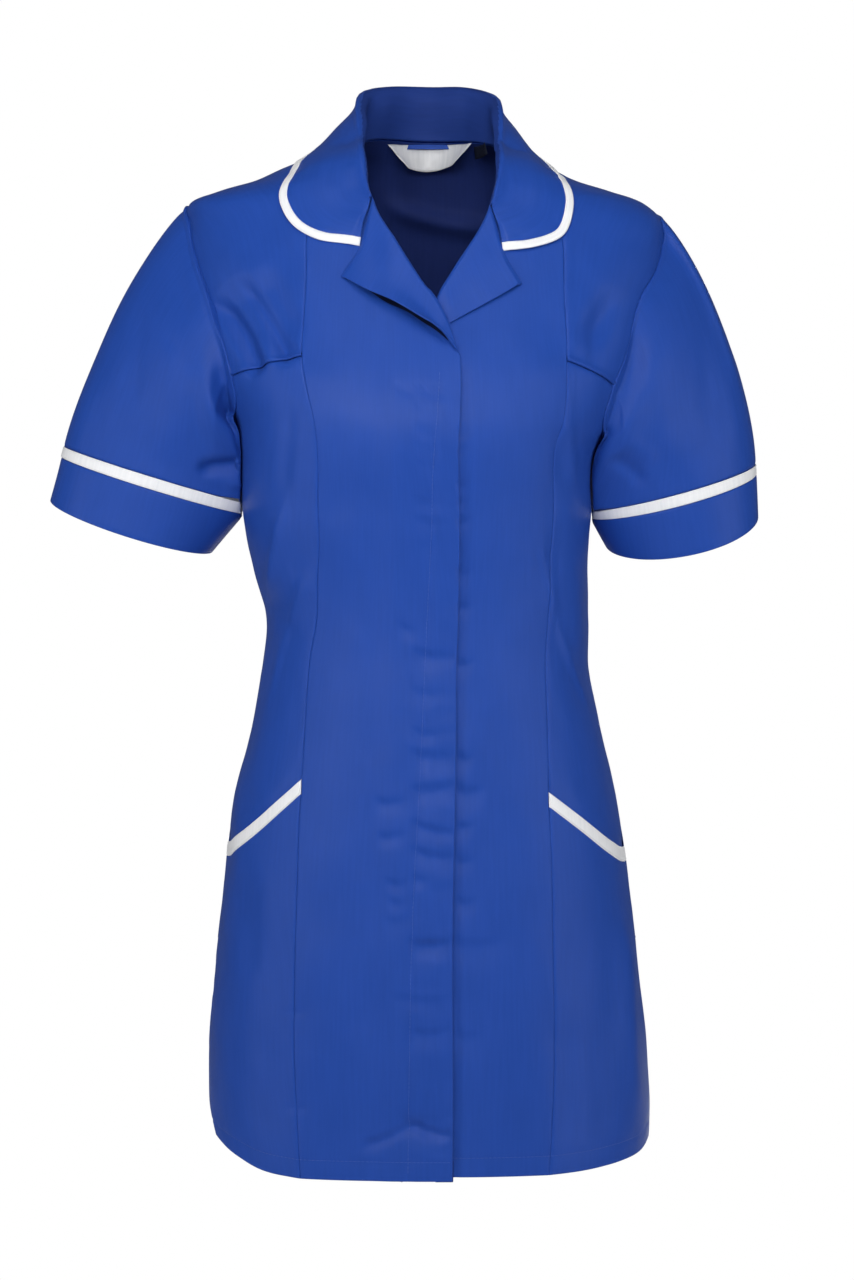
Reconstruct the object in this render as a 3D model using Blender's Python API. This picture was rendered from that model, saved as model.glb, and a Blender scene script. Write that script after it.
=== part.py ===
"""A short-sleeved medical tunic, hollow and in the form it takes when it is worn.

The front faces -Y, the wearer's left is at +X, and the origin is the middle of the neck at the height of
the shoulder seams. Sizes are in millimetres here, and the meshes are made in metres. A place on the body
is a turn round it in degrees (-90 is the middle of the front, 90 the middle of the back, 0 the wearer's
left side, 180 or -180 the right side) and a height.
"""

import math

import bmesh
import bpy
import numpy as np

METRES = 0.001
WALL = 1.2
COLLAR_WALL = 1.6
BINDING_WALL = 2.0
SEAM_GAP = 0.3
FILM_ROUNDS = 1200
OVERLAP_LIFT = 2.1
POCKET_DROP = 3.0
POCKET_BAG = {"foot": -690, "foot_width": 130, "set_in": 4}
RIGHT, LEFT = -1, 1

# Half widths of the body to the wearer's right and left, by height.
WIDTHS = (
    # height, right, left
    (12, 46, 40),
    (0, 60, 53),
    (-10, 88, 73),
    (-20, 116, 97),
    (-30, 138, 118),
    (-40, 171, 149),
    (-50, 191, 175),
    (-62, 191, 187),
    (-84, 191, 188),
    (-104, 190, 187),
    (-130, 186, 181),
    (-160, 179, 173),
    (-185, 171, 165),
    (-205, 162, 156),
    (-228, 152, 144),
    (-245, 149, 134),
    (-300, 146, 129),
    (-340, 137, 126),
    (-380, 127, 126),
    (-412, 130, 126),
    (-460, 138, 135),
    (-524, 153, 149),
    (-588, 161, 158),
    (-650, 168, 165),
    (-708, 174, 173),
    (-760, 175, 176),
    (-825, 174, 175),
)

# Depths before and behind the body's middle plane, that plane's place in Y, and how square the ring is.
DEPTHS = (
    # height, front, back, middle, power
    (12, 34, 56, 5, 2.2),
    (0, 50, 59, 6, 2.2),
    (-20, 66, 64, 8, 2.2),
    (-50, 80, 73, 8, 2.25),
    (-100, 99, 89, 6, 2.3),
    (-150, 115, 101, 4, 2.35),
    (-195, 128, 108, 2, 2.45),
    (-228, 131, 109, 0, 2.45),
    (-300, 120, 98, 0, 2.4),
    (-380, 110, 90, 0, 2.35),
    (-450, 112, 98, 0, 2.35),
    (-550, 119, 113, 0, 2.35),
    (-650, 124, 124, 0, 2.35),
    (-825, 129, 124, 0, 2.35),
)

# Soft troughs (minus) and ridges (plus) of the cloth, as lines seen from the front or the back.
FOLDS = (
    # side, from x, height, to x, height, half width, rise
    ("front", -158, -112, -124, -176, 9, -5.0),
    ("front", -132, -100, -100, -168, 9, -4.0),
    ("front", 150, -118, 120, -172, 10, -3.5),
    ("front", -110, -285, -122, -372, 9, 3.5),
    ("front", -96, -338, -106, -392, 8, 2.5),
    ("front", 112, -318, 118, -430, 9, 3.0),
    ("front", -34, -768, 22, -770, 9, -2.5),
    ("front", 150, -590, 158, -770, 8, 3.0),
    ("back", -60, -250, -72, -520, 12, -3.5),
    ("back", 60, -250, 72, -520, 12, -3.5),
    ("back", -120, -360, -30, -395, 12, -3.0),
    ("back", 120, -365, 26, -402, 12, -3.0),
)

# Long seams, as places seen from the front: x, height.
PRINCESS_SEAM = {
    RIGHT: ((-95, -92), (-97, -177), (-89, -260), (-95, -365), (-98, -442), (-98, -505)),
    LEFT: ((106, -93), (107, -180), (102, -234), (93, -380), (93, -515)),
}
PRINCESS_TOP = {RIGHT: ((-92.5, -15), (-93.5, -40)), LEFT: ((101, -26), (103, -50))}
PRINCESS_AT_SHOULDER = {RIGHT: -92, LEFT: 100}
ARMHOLE_TOP = {RIGHT: -190, LEFT: 181}
ARMHOLE_FRONT = {
    RIGHT: ((-187, -60), (-181, -76), (-174, -100), (-165, -132), (-157, -164), (-153, -189)),
    LEFT: ((182, -62), (180, -80), (172, -104), (161, -128), (157, -150), (144, -196)),
}
ARMHOLE_LOW = {RIGHT: (-150, -212), LEFT: (136, -226)}
ARMPIT = {RIGHT: -228, LEFT: -243}
ARMHOLE_BACK = {
    RIGHT: ((-184, -74), (-172, -110), (-162, -150), (-156, -190), (-151, -214)),
    LEFT: ((178, -80), (167, -114), (157, -154), (149, -194), (137, -228)),
}
NECK_POINT = {RIGHT: -60, LEFT: 55}
NECKLINE_FRONT = {
    RIGHT: ((-59.5, -3), (-59, -12), (-55, -28), (-49, -46), (-43, -58)),
    LEFT: ((55.5, -4.5), (56, -14), (55, -32), (52, -50), (48, -63)),
}
BREAK_LINE = {
    RIGHT: ((-40, -64), (-25, -90), (5, -136), (24.5, -178)),
    LEFT: ((41, -78), (24, -106), (5, -136), (-20, -178)),
}
BACK_NECK = ((-46, 7), (0, 9), (42, 5))
FRONT_EDGE = {
    RIGHT: ((24.5, -178), (23, -365), (21, -442), (18.5, -596), (17.7, -811)),
    LEFT: ((-20, -178), (-20, -811)),
}
POCKET_MOUTH = {RIGHT: ((-98, -505), (-157, -558)), LEFT: ((93, -515), (153, -562))}
BINDING_DROP = 10.5
HEM = {RIGHT: -811, LEFT: -808}
VENT_TOP = -632
VENT_EDGE = {
    RIGHT: ((-169, -670), (-173, -720), (-172, -758), (-166, -785)),
    LEFT: ((167, -670), (173, -720), (175, -765), (174, -789)),
}
HEM_CORNER = {
    RIGHT: ((-158, -795), (-146, -802), (-128, -808)),
    LEFT: ((166, -797), (148, -802), (120, -806)),
}

LAPEL_TOP = {RIGHT: ((-42, -57), (-47, -77), (-51.5, -93), (-67, -114)),
             LEFT: ((47, -62.5), (53, -82), (58.5, -99), (71.5, -119.6))}
LAPEL_FOLD = {RIGHT: ((-42, -57), (-39, -66), (-25, -90), (5, -136), (24, -176)),
              LEFT: ((47, -62.5), (41, -78), (24, -106), (11, -130))}
LAPEL_OUTER = {RIGHT: ((-67, -114), (-22, -141), (9, -158), (22, -176)),
               LEFT: ((71.5, -119.6), (60, -127), (20, -150))}
LAPEL_LIFT = 2.0
LAPEL_SPRING = 3.0
FALL_CLEARANCE = LAPEL_LIFT + 0.9
ROLL_CLEARANCE = 6.0
ROLL_HEIGHT = 5.0
OVERLAP_START, OVERLAP_RUN = -44, 20

# The collar from the right end of the gorge seam round the back of the neck to the left end.
COLLAR = (
    # roll x, y, height, edge x, y, height
    (-44, -64, -55, -53, -86, -87),
    (-44, -63, -53, -66, -84, -90),
    (-45, -62, -50, -84, -78, -86),
    (-46, -60, -46, -105, -70, -73),
    (-48, -54, -36, -115, -58, -54),
    (-51, -40, -12, -110, -42, -34),
    (-55, -18, 14, -98, -8, -12),
    (-57, 8, 34, -88, 22, -6),
    (-52, 38, 48, -73, 58, -6),
    (-28, 56, 54, -42, 79, -7),
    (4, 60, 54, 2, 83, -6),
    (36, 55, 52, 46, 77, -8),
    (55, 36, 44, 72, 54, -9),
    (59, 8, 30, 85, 20, -11),
    (58, -18, 8, 93, -10, -20),
    (55, -40, -18, 106, -38, -40),
    (53, -54, -40, 112, -58, -60),
    (51, -60, -50, 104, -72, -82),
    (50, -63, -56, 82, -82, -93),
    (49, -65, -59, 68, -86, -95),
    (49, -66, -61, 58, -88, -94),
)
COLLAR_BINDING = 7.0
LABEL_TOP = ((-33, 5), (37, 5))
LABEL_BOTTOM = ((-17, -15), (19, -13))
LABEL_DEPTH, LABEL_WALL = 2.7, 0.8
LOOP_ENDS = ((-19, 7), (17, 7))
LOOP_WIDTH, LOOP_DEPTH, LOOP_WALL, LOOP_BOW = 5.0, 3.8, 1.0, 2.0
TAG_TOP = ((38, 3), (48, 3))
TAG_BOTTOM = ((37, -9), (47, -9))
TAG_DEPTH = 2.6

# Sleeves: the ring at the top of the white band and the ring at the hem.
SLEEVES = {
    RIGHT: {
        "band_middle": (-216, 4, -264), "band_across": (-75, 0, 23), "band_forward": (0, -45, -4),
        "hem_middle": (-237.6, 6, -304), "hem_across": (-64.5, 0, 20.5), "hem_forward": (0, -44, -10),
        "leaving": {"top": (-98, 0, -68), "front": (-60, -35, -90), "under": (-24, 0, -14), "back": (-60, 48, -90)},
    },
    LEFT: {
        "band_middle": (194, 6, -273), "band_across": (68, 0, 18), "band_forward": (0, -44, -9),
        "hem_middle": (203.5, 10, -307), "hem_across": (60, 0, 13), "hem_forward": (6, -42, -21),
        "leaving": {"top": (94, 0, -64), "front": (50, -35, -95), "under": (24, 0, -14), "back": (50, 48, -95)},
    },
}
BAND_SHARE = 0.19
SLEEVE_CLEARANCE = 3.4
RING_GAP = 0.7

BLUE = (0.037, 0.095, 0.40)
WHITE = (0.86, 0.87, 0.88)
PALE_GREY = (0.72, 0.73, 0.74)
DARK = (0.02, 0.025, 0.05)
CLOTH_ROUGHNESS = 0.8


def smooth_curve(points, per_span=24):
    """Closely spaced points on a smooth curve that passes through the given ones."""
    points = np.asarray(points, float)
    if len(points) == 2:
        share = np.linspace(0, 1, per_span + 1)[:, None]
        return points[0] * (1 - share) + points[1] * share
    spans = np.linalg.norm(np.diff(points, axis=0), axis=1)
    knots = np.concatenate([[0], np.cumsum(np.maximum(spans, 1e-6))])
    slopes = np.gradient(points, knots, axis=0, edge_order=1)
    pieces = []
    for index in range(len(points) - 1):
        width = knots[index + 1] - knots[index]
        share = np.linspace(0, 1, per_span + 1)[:, None]
        if index < len(points) - 2:
            share = share[:-1]
        start, end = points[index], points[index + 1]
        rise = slopes[index] * width
        fall = slopes[index + 1] * width
        pieces.append(start * (2 * share**3 - 3 * share**2 + 1) + end * (3 * share**2 - 2 * share**3)
                      + rise * (share**3 - 2 * share**2 + share) + fall * (share**3 - share**2))
    return np.concatenate(pieces)


def column_by_height(table, column):
    """One column of a table as a smooth function of height."""
    curve = smooth_curve([(row[0], row[column]) for row in table])
    order = np.argsort(curve[:, 0])
    return curve[order, 0], curve[order, 1]


WIDTH_RIGHT = column_by_height(WIDTHS, 1)
WIDTH_LEFT = column_by_height(WIDTHS, 2)
DEPTH_FRONT = column_by_height(DEPTHS, 1)
DEPTH_BACK = column_by_height(DEPTHS, 2)
MIDDLE = column_by_height(DEPTHS, 3)
POWER = column_by_height(DEPTHS, 4)


def at_height(column, height):
    return np.interp(height, column[0], column[1])


def body(turn, height):
    """Points of the body's ring at these turns and heights."""
    turn = np.radians(turn)
    across, forward = np.cos(turn), np.sin(turn)
    reach = np.where(across < 0, at_height(WIDTH_RIGHT, height), at_height(WIDTH_LEFT, height))
    depth = np.where(forward < 0, at_height(DEPTH_FRONT, height), at_height(DEPTH_BACK, height))
    bend = 2 / at_height(POWER, height)
    x = reach * np.sign(across) * np.abs(across) ** bend
    y = at_height(MIDDLE, height) + depth * np.sign(forward) * np.abs(forward) ** bend
    return np.stack([x, y, height + 0 * x], axis=-1)


def swell(points):
    """How far out a point is as a share of the ring at its height: 1 is on the body."""
    x, y, height = points[..., 0], points[..., 1], points[..., 2]
    reach = np.where(x < 0, at_height(WIDTH_RIGHT, height), at_height(WIDTH_LEFT, height))
    middle = at_height(MIDDLE, height)
    depth = np.where(y < middle, at_height(DEPTH_FRONT, height), at_height(DEPTH_BACK, height))
    power = at_height(POWER, height)
    return (np.abs(x / reach) ** power + np.abs((y - middle) / depth) ** power) ** (1 / power)


def swell_slope(points):
    step = 1.0
    slope = np.zeros_like(points)
    for axis in range(3):
        shift = np.zeros(3)
        shift[axis] = step
        slope[..., axis] = (swell(points + shift) - swell(points - shift)) / (2 * step)
    return slope


def unit(vectors):
    return vectors / np.maximum(np.linalg.norm(vectors, axis=-1, keepdims=True), 1e-9)


def soft_step(value):
    value = np.clip(value, 0, 1)
    return value * value * (3 - 2 * value)


def fold_rise(points):
    """How far the cloth's folds move the body's surface out at these points."""
    rise = np.zeros(points.shape[:-1])
    front = points[..., 1] < 0
    for side, start_x, start_z, end_x, end_z, half_width, height in FOLDS:
        along = np.array((end_x - start_x, end_z - start_z), float)
        length = np.linalg.norm(along)
        along /= length
        offset = points[..., (0, 2)] - np.array((start_x, start_z))
        run = offset @ along
        aside = offset @ np.array((-along[1], along[0]))
        fade = soft_step(run / (0.35 * length)) * soft_step((length - run) / (0.35 * length))
        facing = front if side == "front" else ~front
        rise += np.where(facing, height * fade * np.exp(-(aside / half_width) ** 2), 0)
    return rise


def skin(places, out=0.0):
    """Points on the body's cloth at (turn, height) places, moved out along its normal."""
    places = np.asarray(places, float)
    points = body(places[..., 0], places[..., 1])
    normal = unit(swell_slope(points))
    return points + normal * (fold_rise(points) + out)[..., None]


def clear_of_body(points, gap):
    """Move points that are closer to the body than the gap straight out to it."""
    slope = swell_slope(points)
    size = np.linalg.norm(slope, axis=-1)
    short = gap - (swell(points) - 1) / size
    return points + unit(slope) * np.maximum(short, 0)[..., None]


def on_front(x, height):
    """The (turn, height) place of a point seen from the front."""
    reach = at_height(WIDTH_RIGHT, height) if x < 0 else at_height(WIDTH_LEFT, height)
    share = min(abs(x) / reach, 1.0) ** (at_height(POWER, height) / 2)
    turn = math.degrees(math.acos(share))
    return (-180 + turn, height) if x < 0 else (-turn, height)


def on_back(x, height):
    turn, height = on_front(x, height)
    return -turn, height


def on_ridge(x):
    """The place on the shoulder seam at this distance from the middle."""
    heights, reaches = WIDTH_RIGHT if x < 0 else WIDTH_LEFT
    top = heights > -70
    order = np.argsort(reaches[top])
    height = float(np.interp(abs(x), reaches[top][order], heights[top][order]))
    return (-180.0 if x < 0 else 0.0), height


def side_seam(side, height):
    return (-180.0 if side == RIGHT else 0.0), height


def trace(places, steps):
    """Places spaced evenly, by length on the body, along a smooth line."""
    dense = smooth_curve(places)
    points = body(dense[:, 0], dense[:, 1])
    length = np.concatenate([[0], np.cumsum(np.linalg.norm(np.diff(points, axis=0), axis=1))])
    wanted = np.linspace(0, length[-1], steps + 1)
    return np.stack([np.interp(wanted, length, dense[:, axis]) for axis in (0, 1)], axis=1)


def joined(*traces):
    """Traces that follow one another, as one."""
    return np.concatenate([traces[0]] + [each[1:] for each in traces[1:]])


def place_of(points):
    """The (turn, height) places of points in or near the body, seen from its middle."""
    x, y, height = points[..., 0], points[..., 1], points[..., 2]
    reach = np.where(x < 0, at_height(WIDTH_RIGHT, height), at_height(WIDTH_LEFT, height))
    middle = at_height(MIDDLE, height)
    depth = np.where(y < middle, at_height(DEPTH_FRONT, height), at_height(DEPTH_BACK, height))
    power = at_height(POWER, height) / 2
    turn = np.arctan2(np.sign(y - middle) * np.abs((y - middle) / depth) ** power,
                      np.sign(x) * np.abs(x / reach) ** power)
    return np.stack([np.degrees(turn), height], axis=-1)


def filled(bottom, top, start, end):
    """A grid of places between four edges, each given from the start side or from the bottom up.

    The grid is stretched between its edges like a soap film and then laid on the body.
    """
    rows, columns = len(start), len(bottom)
    edges = np.zeros((rows, columns, 2))
    edges[0], edges[-1], edges[:, 0], edges[:, -1] = bottom, top, start, end
    film = body(edges[..., 0], edges[..., 1])
    across = np.linspace(0, 1, columns)[None, :, None]
    up = np.linspace(0, 1, rows)[:, None, None]
    guess = film[:1] * (1 - up) + film[-1:] * up
    film[1:-1, 1:-1] = (guess * 0.5 + (film[:, :1] * (1 - across) + film[:, -1:] * across) * 0.5)[1:-1, 1:-1]
    for _ in range(FILM_ROUNDS):
        film[1:-1, 1:-1] = (film[:-2, 1:-1] + film[2:, 1:-1] + film[1:-1, :-2] + film[1:-1, 2:]) / 4
    for _ in range(8):
        slope = swell_slope(film)
        steepness = np.maximum(np.sum(slope * slope, axis=-1, keepdims=True), 1e-9)
        film -= slope * ((swell(film) - 1)[..., None] / steepness)
    places = place_of(film)
    places[0], places[-1], places[:, 0], places[:, -1] = bottom, top, start, end
    return places


def finish(name, colour):
    made = bpy.data.materials.new(name)
    made.use_nodes = True
    shader = made.node_tree.nodes["Principled BSDF"]
    shader.inputs["Base Color"].default_value = (*colour, 1)
    shader.inputs["Roughness"].default_value = CLOTH_ROUGHNESS
    shader.inputs["Metallic"].default_value = 0.0
    return made


def drawn_in(points, sides):
    """Pull the named edges of a grid in by half a seam gap."""
    points = points.copy()
    half = SEAM_GAP / 2
    if "start" in sides:
        points[:, 0] += half * unit(points[:, 1] - points[:, 0])
    if "end" in sides:
        points[:, -1] += half * unit(points[:, -2] - points[:, -1])
    if "bottom" in sides:
        points[0] += half * unit(points[1] - points[0])
    if "top" in sides:
        points[-1] += half * unit(points[-2] - points[-1])
    return points


def cloth(name, points, wall, colour, away_from, centred=False, tube=False):
    """A closed sheet of cloth over a grid of points, with its wall on the side away from a place."""
    rows, columns = points.shape[:2]
    form = bmesh.new()
    corners = [[form.verts.new(points[row, column] * METRES) for column in range(columns)] for row in range(rows)]
    spans = columns if tube else columns - 1
    for row in range(rows - 1):
        for column in range(spans):
            after = (column + 1) % columns
            form.faces.new((corners[row][column], corners[row][after],
                            corners[row + 1][after], corners[row + 1][column]))
    form.normal_update()
    outward = sum(face.normal.dot(face.calc_center_median() - away_from(face.calc_center_median()))
                  * face.calc_area() for face in form.faces)
    if outward < 0:
        bmesh.ops.reverse_faces(form, faces=form.faces)
    mesh = bpy.data.meshes.new(name)
    form.to_mesh(mesh)
    form.free()
    mesh.materials.append(finish(name, colour))
    mesh.shade_smooth()
    piece = bpy.data.objects.new(name, mesh)
    bpy.context.scene.collection.objects.link(piece)
    thick = piece.modifiers.new("Wall", "SOLIDIFY")
    thick.thickness = wall * METRES
    thick.offset = 0.0 if centred else 1.0
    thick.use_rim = True
    return piece


def body_axis(point):
    """The middle of the body at a point's height."""
    return point.__class__((0.0, 0.01, point.z))


def panel(name, grid, out=0.0, wall=WALL, drawn=("start", "end", "bottom", "top")):
    points = drawn_in(skin(grid, out), drawn)
    return cloth(name, points, wall, BLUE, body_axis)


def shoulder_to_dart(side, steps=8):
    seam = PRINCESS_SEAM[side]
    top = [on_front(*place) for place in PRINCESS_TOP[side]]
    return trace([on_ridge(PRINCESS_AT_SHOULDER[side])] + top + [on_front(*seam[0]), on_front(*seam[1])], steps)


def dart_to_mouth(side, steps=13):
    places = [on_front(*place) for place in PRINCESS_SEAM[side]]
    whole = smooth_curve(places)
    below_dart = whole[whole[:, 1] <= PRINCESS_SEAM[side][1][1] + 0.01]
    return trace(below_dart[::6], steps)


def mouth_to_hem(side, drop=BINDING_DROP, steps=12):
    x, height = PRINCESS_SEAM[side][-1]
    return trace([on_front(x, height - drop), on_front(x, HEM[side])], steps)


def princess_seam(side):
    x, height = PRINCESS_SEAM[side][-1]
    at_binding = trace([on_front(x, height), on_front(x, height - BINDING_DROP)], 1)
    return joined(shoulder_to_dart(side), dart_to_mouth(side), at_binding, mouth_to_hem(side))


def armhole_front(side, steps=8):
    return trace([on_ridge(ARMHOLE_TOP[side])] + [on_front(*place) for place in ARMHOLE_FRONT[side]], steps)


def armhole_low(side, steps=4):
    return trace([on_front(*ARMHOLE_FRONT[side][-1]), on_front(*ARMHOLE_LOW[side]),
                  side_seam(side, ARMPIT[side])], steps)


def armhole_back(side, steps=11):
    turn, height = on_ridge(ARMHOLE_TOP[side])
    places = [on_back(*place) for place in ARMHOLE_BACK[side]]
    return trace([(abs(turn), height)] + places + [(abs(turn), ARMPIT[side])], steps)


def mouth_line(side, drop=0.0, steps=4):
    (inner_x, inner_height), (outer_x, outer_height) = POCKET_MOUTH[side]
    places = []
    for share in (0, 0.4, 0.75):
        x = inner_x + (outer_x - inner_x) * share
        height = inner_height + (outer_height - inner_height) * share
        places.append(on_front(x, height - drop))
    places.append(side_seam(side, outer_height - drop))
    return trace(places, steps)


def armpit_to_mouth(side, steps=13):
    return trace([side_seam(side, ARMPIT[side]), side_seam(side, POCKET_MOUTH[side][1][1])], steps)


def mouth_to_vent(side, steps=3):
    height = POCKET_MOUTH[side][1][1] - BINDING_DROP
    return trace([side_seam(side, height), side_seam(side, VENT_TOP)], steps)


def overlap_lift(grid):
    """The right front rides up over the left one where they overlap."""
    x = body(grid[..., 0], grid[..., 1])[..., 0]
    return OVERLAP_LIFT * soft_step((x - OVERLAP_START) / OVERLAP_RUN)


def shoulder_ridge(side, first, last, steps):
    places = [on_ridge(side * reach) for reach in np.linspace(abs(first), abs(last), 3)]
    return trace(places, steps)


def front_panel(side):
    seam = princess_seam(side)[::-1]
    edge = [on_front(*place) for place in FRONT_EDGE[side]][::-1]
    free_edge = trace(edge, len(seam) - 1)
    ridge = shoulder_ridge(side, PRINCESS_AT_SHOULDER[side], NECK_POINT[side], 2)
    neck = trace([on_ridge(NECK_POINT[side])] + [on_front(*place) for place in NECKLINE_FRONT[side]], 4)
    fold = trace([on_front(*NECKLINE_FRONT[side][-1])] + [on_front(*place) for place in BREAK_LINE[side]], 6)
    top = joined(ridge, neck, fold)
    hem = trace([on_front(PRINCESS_SEAM[side][-1][0], HEM[side]), on_front(FRONT_EDGE[side][-1][0], HEM[side])],
                len(top) - 1)
    grid = filled(hem, top, seam, free_edge)
    lift = overlap_lift(grid) if side == RIGHT else 0.0
    return panel("front_right" if side == RIGHT else "front_left", grid, lift)


def shoulder_front(side):
    ridge = shoulder_ridge(side, PRINCESS_AT_SHOULDER[side], ARMHOLE_TOP[side], 5)
    dart = dart_line(side)
    seam = shoulder_to_dart(side)[::-1]
    hole = armhole_front(side)[::-1]
    grid = filled(dart, ridge, seam, hole)
    return panel(f"shoulder_front_{'right' if side == RIGHT else 'left'}", grid)


def dart_line(side, steps=5):
    return trace([on_front(*PRINCESS_SEAM[side][1]), on_front(*ARMHOLE_FRONT[side][-1])], steps)


def side_front(side):
    dart = dart_line(side)
    x, height = PRINCESS_SEAM[side][-1]
    foot, foot_x = POCKET_BAG["foot"], side * POCKET_BAG["foot_width"]
    bag_x = x + side * POCKET_BAG["set_in"]
    bag_inner = trace([on_front(x, height), on_front(bag_x, height - 30), on_front(bag_x, foot)], 8)
    seam = joined(dart_to_mouth(side), bag_inner)
    mouth_end = side_seam(side, POCKET_MOUTH[side][1][1])
    bag_outer = trace([mouth_end, on_front(foot_x + side * 20, foot + 94), on_front(foot_x + side * 9, foot + 50),
                       on_front(foot_x, foot + 2)], 4)
    outer = joined(armhole_low(side), armpit_to_mouth(side), bag_outer)
    bottom = trace([on_front(bag_x, foot), on_front(foot_x, foot + 2)], 5)
    grid = filled(bottom, dart, seam[::-1], outer[::-1])
    points = body(grid[..., 0], grid[..., 1])
    (inner_x, inner_height), (outer_x, outer_height) = POCKET_MOUTH[side]
    share = (points[..., 0] - inner_x) / (outer_x - inner_x)
    mouth_height = inner_height + (outer_height - inner_height) * np.clip(share, 0, 1)
    drop = soft_step((mouth_height + 52 - points[..., 2]) / 30)
    return panel(f"side_front_{'right' if side == RIGHT else 'left'}", grid, -POCKET_DROP * drop)


def vent_edge(side, steps=12):
    return trace([side_seam(side, VENT_TOP)] + [on_front(*place) for place in VENT_EDGE[side]], steps)


def pocket_front(side):
    mouth = mouth_line(side, BINDING_DROP)
    seam = mouth_to_hem(side)
    outer = joined(mouth_to_vent(side, 3), vent_edge(side, 9))
    corner = [on_front(*VENT_EDGE[side][-1])] + [on_front(*place) for place in HEM_CORNER[side]]
    hem = trace(corner + [on_front(PRINCESS_SEAM[side][-1][0], HEM[side])], 4)
    grid = filled(hem[::-1], mouth, seam[::-1], outer[::-1])
    return panel(f"pocket_front_{'right' if side == RIGHT else 'left'}", grid)


def pocket_binding(side):
    top = mouth_line(side)
    bottom = mouth_line(side, BINDING_DROP)
    middle = (top + bottom) / 2
    grid = np.stack([bottom, middle, top])
    points = drawn_in(skin(grid, -0.4), ("start", "end", "bottom"))
    return cloth(f"pocket_binding_{'right' if side == RIGHT else 'left'}", points, BINDING_WALL,
                 WHITE, body_axis)


def back_panel():
    sides = []
    for side in (RIGHT, LEFT):
        turn = 180.0 if side == RIGHT else 0.0
        inward = -1 if side == RIGHT else 1
        corner = trace([(turn + inward * 9, -797), (turn + inward * 3, -786), (turn, -768)], 2)
        vent = trace([(turn, -768), (turn, VENT_TOP)], 6)
        seam = [place for place in joined(mouth_to_vent(side)[::-1], armpit_to_mouth(side)[::-1])]
        seam = np.array([(turn, height) for _, height in seam])
        sides.append(joined(corner, vent, seam, armhole_back(side)[::-1]))
    ridges = []
    for side in (RIGHT, LEFT):
        turn = 180.0 if side == RIGHT else 0.0
        ridge = joined(shoulder_ridge(side, ARMHOLE_TOP[side], PRINCESS_AT_SHOULDER[side], 5),
                       shoulder_ridge(side, PRINCESS_AT_SHOULDER[side], NECK_POINT[side], 2))
        ridges.append(np.array([(turn, height) for _, height in ridge]))
    neck = trace([ridges[0][-1]] + [on_back(*place) for place in BACK_NECK] + [ridges[1][-1]], 8)
    top = joined(ridges[0], neck, ridges[1][::-1])
    hem_places = [sides[0][0], (160, -806), (150, -808), (90, -809), (30, -808), (20, -806), sides[1][0]]
    hem = trace(hem_places, len(top) - 1)
    return panel("back", filled(hem, top, sides[0], sides[1]))


def lapel(side):
    """The turned-back front, from its rolled fold to its outer edge."""
    steps = 10
    fold = trace([on_front(*place) for place in LAPEL_FOLD[side]], steps)
    outer = trace([on_front(*place) for place in LAPEL_OUTER[side]], steps)
    top = trace([on_front(*place) for place in LAPEL_TOP[side]], 6)
    last = trace([on_front(*LAPEL_FOLD[side][-1]), on_front(*LAPEL_OUTER[side][-1])], 6)
    grid = filled(fold, outer, top, last)
    share = np.linspace(0, 1, 7)[:, None]
    lift = LAPEL_LIFT + (ROLL_HEIGHT - LAPEL_LIFT) * (1 - soft_step(share / 0.75)) + 0 * grid[..., 0]
    if side == RIGHT:
        along = np.linspace(0, 1, steps + 1)[None]
        lift += overlap_lift(grid) + 0.6 * along + LAPEL_SPRING * share * soft_step((along - 0.45) / 0.4)
    grid_points = skin(grid.transpose(1, 0, 2), lift.T)
    rows = grid_points.transpose(1, 0, 2)
    inner = skin(fold, (overlap_lift(fold) + 0.6 if side == RIGHT else 0.0) + LAPEL_LIFT)
    away = unit(rows[0] - rows[1])
    lip = inner + away * 2.0
    crown = (rows[0] + lip) / 2 + away * 1.2
    points = np.concatenate([[lip], [crown], rows])
    points = drawn_in(points, ("start",))
    return cloth(f"lapel_{'right' if side == RIGHT else 'left'}", points, WALL, BLUE, body_axis)


def neck_seam():
    """The seam between the body and the collar, from the right gorge round the back to the left one."""
    places = []
    for side in (RIGHT, LEFT):
        ridge = on_ridge(NECK_POINT[side])
        front = [on_front(*place) for place in NECKLINE_FRONT[side]]
        places.append(trace([ridge] + front, 6))
    back = trace([(180.0, places[0][0, 1])] + [on_back(*place) for place in BACK_NECK] + [(0.0, places[1][0, 1])], 8)
    right, left = places[0][::-1], places[1]
    points = np.concatenate([skin(right), skin(back)[1:], skin(left)[1:]])
    normals = np.concatenate([unit(swell_slope(skin(right))), unit(swell_slope(skin(back)))[1:],
                              unit(swell_slope(skin(left)))[1:]])
    tangent = unit(np.gradient(points, axis=0))
    inward = unit(np.cross(tangent, normals))
    centre = np.array((0, 0, 0.0))
    if np.sum(inward * (centre - points)) < 0:
        inward = -inward
    return points + inward * (SEAM_GAP + 0.3 + COLLAR_WALL / 2) + normals * 0.4, normals, inward


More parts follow.
